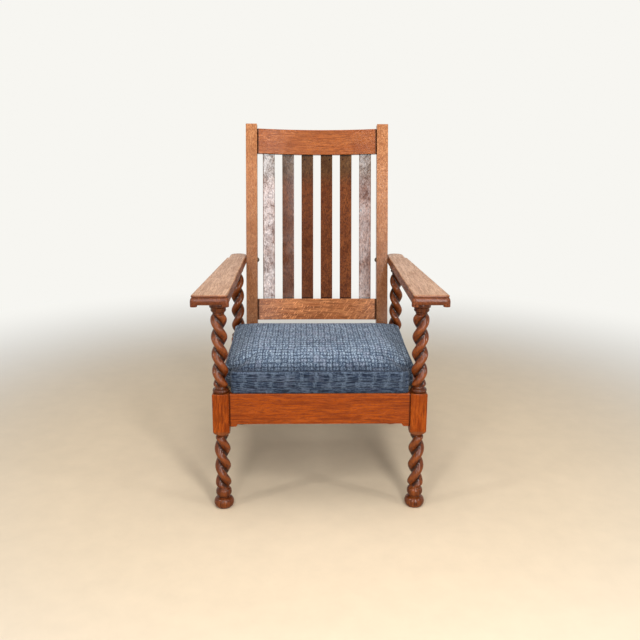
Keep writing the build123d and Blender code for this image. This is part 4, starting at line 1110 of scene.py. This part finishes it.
class CHAIR_OT_arms(bpy.types.Operator):
    """Broad flat arms with a nosed edge, a round rear end and small lips under the front corners"""

    bl_idname = "chair.arms"
    bl_label = "Arms"

    def execute(self, context):
        edge = ("top", tones_of(context, "post"))
        looks = {"rough": 0.42, "shine": 0.14, "coat": 0.3, "edge_coat": 0.3, "coat_rough": 0.24}
        # Paler, greyer tones on the arms' tops: wear, and a painted sheen.
        tones = tones_of(context, "worn")
        finish = oak("arm oak", tones, turn=(math.pi / 2, 0, 0), edge=edge, deep="open", **looks)
        loop = arm_loop()
        profile = arm_profile()
        rim = loop[None] + loop_normals(loop)[None] * profile[:, :1, None]
        middle_x = (loop[:, 0].min() + loop[:, 0].max()) / 2
        spine = np.stack([np.full(len(loop), middle_x), np.clip(loop[:, 1], FRONT_Y, REAR_Y + 0.02)], -1)
        share = np.array([0.06, 0.2, 0.8])[:, None, None]
        flat = np.concatenate([rim, rim[-1] + (spine - rim[-1]) * share])
        level = np.concatenate([profile[:, 1], np.full(len(share), ARM_TOP)])
        columns = len(loop)
        body = tube(np.concatenate([flat, np.tile(level[:, None, None], (1, columns, 1))], -1))
        corners = (ARM_OUTER_X - LIP_INSET, STILE_OUTER + LIP_INSET)
        lips = [lip_shell(x, ARM_FRONT_Y + LIP_INSET) for x in corners]
        shell = join_shells([facing_out(part) for part in (body, *lips)])
        extra = len(shell[0]) - len(body[0])
        # open is low in the quirk under the top edge, which is darkened there as painted shade.
        quirk = np.repeat(np.exp(-(((level - ARM_BOTTOM - 0.0230) / 0.0012) ** 2)), columns)
        top = np.repeat(np.clip((level - ARM_TOP + 0.0030) / 0.0028, 0, 1), columns)
        values = {
            "open": np.concatenate([0.7 - quirk * 0.65, np.full(extra, 0.6)]),
            "top": np.concatenate([top, np.zeros(extra)]),
        }
        for side, placed in both_sides(shell):
            arm = put_mesh(f"arm_{side}_board", *placed, 30, values)
            dress(arm, "frame", "oak", finish, f"arm_{side}")
        return {"FINISHED"}


# Seat


def seat_half_width(y, rear):
    """Half the seat's width at y: the tongue, a smooth spread behind the posts, then hollow sides."""
    t = np.clip((y - SEAT_NOTCH) / SEAT_SPREAD, 0, 1)
    start = SEAT_NOTCH + SEAT_SPREAD
    share = np.clip((y - start) / (rear - start), 0, 1)
    side = SEAT_NARROW + (SEAT_WIDE - SEAT_NARROW) * share - 0.003 * 4 * share * (1 - share)
    return np.where(t < 1, SEAT_TONGUE + (SEAT_NARROW - SEAT_TONGUE) * t * t * (3 - 2 * t), side)


def seat_loop(rear, count):
    """Plan of the seat at even steps: its half widths down one side, with rounded front and rear corners."""
    y = np.linspace(SEAT_FRONT_Y + 0.016, rear - 0.038, 120)
    side = np.stack([seat_half_width(y, rear), y], -1)
    corner = (SEAT_TONGUE, SEAT_FRONT_Y)
    front = fillet_points((0, SEAT_FRONT_Y), corner, (SEAT_TONGUE, SEAT_NOTCH), 0.014, 10)
    half = np.concatenate([front, side, fillet_points(side[-1], (SEAT_WIDE, rear), (0, rear), 0.036, 14)])
    return even_loop(np.concatenate([half, half[::-1] * (-1, 1)]), count)


def seat_top(x, y, sizes, rear):
    """Height of the top over its seam: a ridge that falls towards the back, times one fall for each edge.

    A fall is 1 - (1 - d / D)^p at the distance d from its edge, and 1 past D. A shallow fold runs
    inward and back from each notch, with a bell curve across it and another along it.
    """
    ridge = sizes.crown - 0.046 * np.maximum(y - SEAT_FRONT_Y - 0.22, 0)

    def fall(distance, reach, power):
        return 1 - (1 - np.clip(distance / reach, 0, 1)) ** power

    front = fall(y - SEAT_FRONT_Y, 0.204, 2.6)
    back = fall(rear - y, 0.125, 1.5)
    side = fall(seat_half_width(y, rear) - np.abs(x), 0.125, 2.2)
    forward = (SEAT_TONGUE - np.abs(x)) + (y - SEAT_NOTCH)
    aside = (SEAT_TONGUE - np.abs(x)) - (y - SEAT_NOTCH) - 0.012
    fold = np.exp(-((aside / 0.009) ** 2)) * np.exp(-(((forward - 0.075) / 0.045) ** 2))
    return ridge * front * back * side - 0.0045 * fold


def seat_shell(sizes, inset, bottom, columns=420):
    """The boxed seat before it is filled: underside, leaning band and crowned top, in loops round the seat.

    The loops of the top close in from the outline on a short line across the middle, and the
    underside's do the same.
    """
    seam = SEAT_BOTTOM + sizes.seam - inset
    rear = SEAT_REAR_Y + sizes.seam * BAND_LEAN
    loop = seat_loop(rear, columns)
    loop = loop - loop_normals(loop) * inset
    spine = np.stack([np.clip(loop[:, 0], -0.19, 0.19) * 0.9, np.full(columns, loop[:, 1].mean())], -1)
    share = np.linspace(0, 1, 60)[:, None, None] ** 1.3
    rings = loop + (spine - loop) * share
    top_z = seam + seat_top(rings[..., 0], rings[..., 1], sizes, rear)
    band_z = bottom + (seam - bottom) * np.linspace(0, 1, 14)[:-1, None, None]
    under = np.concatenate([rings, np.full_like(rings[..., :1], bottom)], -1)[:0:-1]
    band = np.concatenate([np.tile(loop, (13, 1, 1)), np.tile(band_z, (1, columns, 1))], -1)
    points = np.concatenate([under, band, np.concatenate([rings, top_z[..., None]], -1)])
    lean = np.clip((points[..., 1] - (rear - 0.16)) / 0.16, 0, 1) ** 2
    points[..., 1] += lean * (points[..., 2] - seam) * BAND_LEAN
    return points.reshape(-1, 3), ring_quads(len(points), columns)


def read_points(mesh):
    points = np.zeros(len(mesh.vertices) * 3, np.float32)
    mesh.vertices.foreach_get("co", points)
    return points.reshape(-1, 3).astype(float)


def write_points(mesh, points):
    mesh.vertices.foreach_set("co", points.astype(np.float32).ravel())
    mesh.update()


def seat_cloth_attributes(piece, sizes):
    """Lays the cloth out: where each point lies on the top panel and on the band, and how far over the seam.

    The nearest point of the outline gives the distance round the seat, over_seam is the height over
    the seam, and one more attribute, the share free of painted shade, is 0 on the front of the band,
    which takes the most painted shade, and rises to 1 on the flat of the top.
    """
    mesh = piece.data
    points = read_points(mesh)
    rear = SEAT_REAR_Y + sizes.seam * BAND_LEAN
    loop = seat_loop(rear, 900)
    step = float(np.linalg.norm(np.diff(loop, axis=0), axis=1).mean())
    chunks = np.array_split(points[:, None, :2], 24)
    nearest = np.concatenate([np.argmin(((chunk - loop[None]) ** 2).sum(-1), axis=1) for chunk in chunks])
    drop = np.maximum(SEAT_BOTTOM + sizes.seam + sizes.crown - points[:, 2], 0)
    outward = loop_normals(loop)[nearest]
    distance = np.abs(((loop[nearest] - points[:, :2]) * outward).sum(-1))
    pushed = points[:, :2] + outward * (drop * 0.2 * np.exp(-distance / 0.1))[:, None]
    inside = distance > 0.02
    upper = points[:, 2] > SEAT_BOTTOM + sizes.seam * 0.5
    over = points[:, 2] - (SEAT_BOTTOM + sizes.seam)
    over = np.where(inside & upper, np.maximum(over, 0.004), over)
    near_front = np.clip(1 - (points[:, 1] - SEAT_FRONT_Y) / 0.13, 0, 1)
    climb = np.clip(over / 0.034, 0, 1)
    values = {
        "across_top": pushed[:, 0],
        "along_top": pushed[:, 1] - SEAT_FRONT_Y,
        "across_band": points[:, 2] - SEAT_BOTTOM + 0.001,
        "along_band": nearest * step,
        "over_seam": over,
        "off_front": 1 - near_front**0.5 * (1 - climb * climb * (3 - 2 * climb)),
    }
    for key, value in values.items():
        put_values(mesh, key, value)


def fill_with_air(piece, cap):
    """Cloth blown out by inner pressure for 20 frames.

    A point's shift s loses what points inwards and is then eased to cap * tanh(s / cap).
    """
    scene = bpy.context.scene
    points = read_points(piece.data)
    held = piece.vertex_groups.new(name="held")
    held.add(np.nonzero(points[:, 2] < SEAT_BOTTOM + 0.005)[0].tolist(), 1.0, "REPLACE")
    cloth = piece.modifiers.new("cloth", "CLOTH")
    settings = cloth.settings
    settings.quality = 6
    settings.mass = 0.3
    settings.tension_stiffness = 25
    settings.compression_stiffness = 12
    settings.shear_stiffness = 8
    settings.bending_stiffness = 1.5
    settings.use_pressure = True
    settings.uniform_pressure_force = 4.0
    settings.effector_weights.gravity = 0.0
    settings.vertex_group_mass = "held"
    for number in range(1, 21):
        scene.frame_set(number)
    evaluated = piece.evaluated_get(bpy.context.evaluated_depsgraph_get())
    blown = read_points(evaluated.data)
    piece.modifiers.remove(cloth)
    piece.vertex_groups.clear()
    scene.frame_set(1)
    shift = blown - points
    normal = np.zeros(len(points) * 3, np.float32)
    piece.data.vertices.foreach_get("normal", normal)
    normal = normal.reshape(-1, 3)
    shift -= normal * np.minimum((shift * normal).sum(-1, keepdims=True), 0)
    size = np.linalg.norm(shift, axis=1, keepdims=True)
    shift = shift * np.where(size > 1e-9, cap * np.tanh(size / cap) / np.maximum(size, 1e-9), 0)
    write_points(piece.data, points + shift)


def apply_modifiers(piece):
    """The piece's mesh as its modifiers make it, with the modifiers gone."""
    depsgraph = bpy.context.evaluated_depsgraph_get()
    made = bpy.data.meshes.new_from_object(piece.evaluated_get(depsgraph))
    old = piece.data
    piece.modifiers.clear()
    piece.data = made
    made.name = piece.name
    bpy.data.meshes.remove(old)


class CHAIR_OT_seat(bpy.types.Operator):
    """Boxed and crowned seat in ribbed cloth, with its padding inside"""

    bl_idname = "chair.seat"
    bl_label = "Seat"

    def execute(self, context):
        sizes = context.scene.chair_seat
        tones = tones_of(context, "cloth", ("dark", "middle", "pale", "mauve"))
        cloth = chenille("ribbed chenille", tones, sizes.rib, sizes.block)
        points, quads = seat_shell(sizes, 0.001, SEAT_BOTTOM - 0.007)
        cover = put_mesh("seat_cover_cloth", points, quads, (), 180)
        remesh = cover.modifiers.new("even mesh", "REMESH")
        remesh.mode = "VOXEL"
        remesh.voxel_size = sizes.mesh_step
        apply_modifiers(cover)
        seat_cloth_attributes(cover, sizes)
        fill_with_air(cover, sizes.swell)
        smooth = cover.modifiers.new("smooth", "SUBSURF")
        smooth.levels = smooth.render_levels = 1
        apply_modifiers(cover)
        moved = read_points(cover.data)
        rear = SEAT_REAR_Y + sizes.seam * BAND_LEAN
        x, y, z = moved.T
        under = (z < SEAT_BOTTOM + 0.002) & (seat_half_width(y, rear) - np.abs(x) > 0.008)
        under &= (y > SEAT_FRONT_Y + 0.008) & (y < SEAT_REAR_Y - 0.006)
        moved[:, 2] = np.maximum(z, np.where(under, SEAT_BOTTOM + 0.0013, SEAT_BOTTOM))
        write_points(cover.data, moved)
        cover.data.shade_smooth()
        dress(cover, "seat", "blue_cloth", cloth, "seat_cover")
        points, quads = seat_shell(sizes, 0.006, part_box("seat_padding")[0].z, 240)
        foam = put_mesh("seat_padding_foam", points, quads, (), 60)
        material = coarse_cloth("foam", ((0.62, 0.55, 0.38), (0.80, 0.74, 0.56)), 2600.0)
        dress(foam, "seat", "padding", material, "seat_padding")
        return {"FINISHED"}


class CHAIR_OT_seat_frame(bpy.types.Operator):
    """Materials of the seat's frame, webbing and dust cover and of corner blocks, screws, bushes and bolts"""

    bl_idname = "chair.seat_frame"
    bl_label = "Seat frame and fittings"

    def execute(self, context):
        pale = ((0.55, 0.36, 0.18), (0.70, 0.52, 0.31))
        across = plain_timber("softwood across", pale, (0, math.pi / 2, 0))
        along = plain_timber("softwood along", pale, (math.pi / 2, 0, 0))
        zinc = metal("zinc screw", (0.62, 0.62, 0.63), 0.25, (0.35, 0.33, 0.30))
        brass = metal("brass bush", (0.62, 0.44, 0.18), 0.25, (0.30, 0.20, 0.09))
        iron = metal("dark bolt", (0.16, 0.12, 0.09), 0.22, (0.05, 0.035, 0.028))
        jute = coarse_cloth("jute webbing", ((0.30, 0.21, 0.11), (0.58, 0.45, 0.27)), 2400.0)
        cambric = coarse_cloth("black cambric", ((0.012, 0.012, 0.014), (0.04, 0.04, 0.045)), 5200.0)
        repaint(across, "seat_frame_front", "seat_frame_rear", "corner_block_left", "corner_block_right")
        repaint(along, "seat_frame_left", "seat_frame_right")
        repaint(zinc, "corner_block_screws", "stile_foot_screws")
        repaint(brass, "arm_bush_left", "arm_bush_right")
        repaint(iron, "arm_bolt_left", "arm_bolt_right")
        repaint(jute, "webbing_across", "webbing_along")
        repaint(cambric, "dust_cover")
        return {"FINISHED"}


# Stage


def put_floor(settings):
    """A round floor that shades into the backdrop's colour, and glows with it far from the chair.

    Near the chair it is matt and takes shadows. With distance the share of glow rises for rays from
    the camera and for mirrored ones, so that the floor's rim can't be seen.
    """
    finish = Finish("pale floor")
    place = finish.place()
    reach = finish.node("ShaderNodeVectorMath", {"operation": "LENGTH"}, {0: place}, output="Value")
    grain = finish.noise(place, 14.0, 4.0, 0.6)
    near = finish.colour(shade(settings.floor[:], 0.93), shade(settings.floor[:], 1.07), grain)
    finish.set(Base_Color=finish.colour(near, settings.backdrop[:], reach.between(0.7, 2.9)), Roughness=0.75)
    glow = finish.node("ShaderNodeEmission", None, {"Color": settings.backdrop[:], "Strength": 1.0})
    matt = Wire(finish, finish.shader.outputs[0])
    shares = {0: finish.seen() * reach.between(1.2, 2.9), 1: matt, 2: glow}
    blend = finish.node("ShaderNodeMixShader", None, shares)
    finish.feed(finish.tree.nodes["Material Output"].inputs[0], blend)
    bpy.ops.mesh.primitive_circle_add(vertices=96, radius=14, fill_type="NGON", location=(0, 0, 0))
    floor = bpy.context.object
    floor.name = "floor"
    floor.data.materials.append(finish.material)


def put_sky(scene, settings):
    """Soft light from all round, with the backdrop's colour for the camera and for mirrored rays."""
    scene.world = scene.world or bpy.data.worlds.new("studio")
    scene.world.use_nodes = True
    sky = Nodes(scene.world.node_tree)
    shaders = sky.tree.nodes
    sky.feed(shaders["Background"].inputs["Color"], (1.0, 0.985, 0.96))
    sky.feed(shaders["Background"].inputs["Strength"], settings.sky)
    backdrop = sky.node("ShaderNodeBackground", None, {"Color": settings.backdrop[:]})
    mix = {0: sky.seen(), 1: Wire(sky, shaders["Background"].outputs[0]), 2: backdrop}
    sky.feed(shaders["World Output"].inputs[0], sky.node("ShaderNodeMixShader", None, mix))


def put_lamps(scene, power):
    """Soft lamps at the photograph's angles: name, place, size, watts and the height that each aims at."""
    for name, spot, size, watts, aim in (
        ("lamp_left", (-0.58, -2.02, 1.56), (0.26, 2.1), 17.5, 1.56),
        ("lamp_right", (0.62, -2.06, 1.50), (0.31, 2.2), 39.0, 1.50),
        ("lamp_side_left", (-1.7, -1.2, 1.35), (0.1, 0.4), 9.0, 1.35),
        ("lamp_side_right", (1.7, -1.2, 1.35), (0.1, 0.4), 9.0, 1.35),
        ("lamp_high", (0.0, -2.3, 2.45), (1.4, 0.9), 5.0, 2.45),
        ("lamp_top", (0.0, -0.3, 2.9), (2.2, 2.0), 42.0, 0.6),
    ):
        light = bpy.data.lights.new(name, "AREA")
        light.shape = "RECTANGLE"
        light.size, light.size_y = size
        light.energy = watts * power
        lamp = bpy.data.objects.new(name, light)
        lamp.location = spot
        lamp.rotation_euler = (Vector((0, 0, aim)) - Vector(spot)).to_track_quat("-Z", "Y").to_euler()
        scene.collection.objects.link(lamp)


def put_camera(scene):
    """The camera that was solved from the photograph, with angles in radians."""
    camera = bpy.data.objects.new("camera", bpy.data.cameras.new("camera"))
    camera.data.sensor_width = 36.0
    camera.data.lens = 41.39
    pitch, yaw, roll = 0.2548, 0.0205, 0.0044
    ahead = Vector((math.sin(yaw) * math.cos(pitch), math.cos(yaw) * math.cos(pitch), -math.sin(pitch)))
    right = Vector((math.cos(yaw), -math.sin(yaw), 0))
    up = right.cross(ahead)
    turned_right = right * math.cos(roll) + up * math.sin(roll)
    turned_up = up * math.cos(roll) - right * math.sin(roll)
    place = Matrix((turned_right, turned_up, -ahead)).transposed().to_4x4()
    place.translation = Vector((-0.0425, FRONT_Y - 2.0363, 1.1142))
    camera.matrix_world = place
    scene.collection.objects.link(camera)
    scene.camera = camera


class CHAIR_OT_stage(bpy.types.Operator):
    """Pale floor, soft studio lamps and a camera at the photograph's angle"""

    bl_idname = "chair.stage"
    bl_label = "Stage"

    def execute(self, context):
        scene = context.scene
        settings = scene.chair_stage
        scene.view_settings.view_transform = "Standard"
        put_floor(settings)
        put_sky(scene, settings)
        put_lamps(scene, settings.lamps)
        put_camera(scene)
        return {"FINISHED"}


class CHAIR_PT_pieces(bpy.types.Panel):
    """Sizes, colours and the chair's pieces"""

    bl_label = "Lounge chair"
    bl_idname = "CHAIR_PT_pieces"
    bl_space_type = "VIEW_3D"
    bl_region_type = "UI"
    bl_category = "Chair"

    def draw(self, context):
        for group in GROUPS:
            box = self.layout.box()
            values = getattr(context.scene, group)
            for name in values.bl_rna.properties.keys():
                if name not in ("rna_type", "name"):
                    box.prop(values, name)
        for operator in OPERATORS:
            self.layout.operator(operator.bl_idname)


GROUPS = {
    "chair_posts": ChairPostSizes,
    "chair_boards": ChairBoardSizes,
    "chair_seat": ChairSeatSizes,
    "chair_colours": ChairColours,
    "chair_stage": ChairStageSettings,
}
OPERATORS = (
    CHAIR_OT_stage,
    CHAIR_OT_front_posts,
    CHAIR_OT_rear_posts,
    CHAIR_OT_seat_rails,
    CHAIR_OT_back,
    CHAIR_OT_arms,
    CHAIR_OT_seat,
    CHAIR_OT_seat_frame,
)


def register():
    for name, group in GROUPS.items():
        bpy.utils.register_class(group)
        setattr(bpy.types.Scene, name, PointerProperty(type=group))
    for operator in (*OPERATORS, CHAIR_PT_pieces):
        bpy.utils.register_class(operator)


def unregister():
    for operator in (CHAIR_PT_pieces, *reversed(OPERATORS)):
        bpy.utils.unregister_class(operator)
    for name, group in GROUPS.items():
        delattr(bpy.types.Scene, name)
        bpy.utils.unregister_class(group)


def main():
    register()
    for operator in OPERATORS:
        family, name = operator.bl_idname.split(".")
        getattr(getattr(bpy.ops, family), name)()
    bpy.context.view_layer.update()


if __name__ == "__main__":
    main()
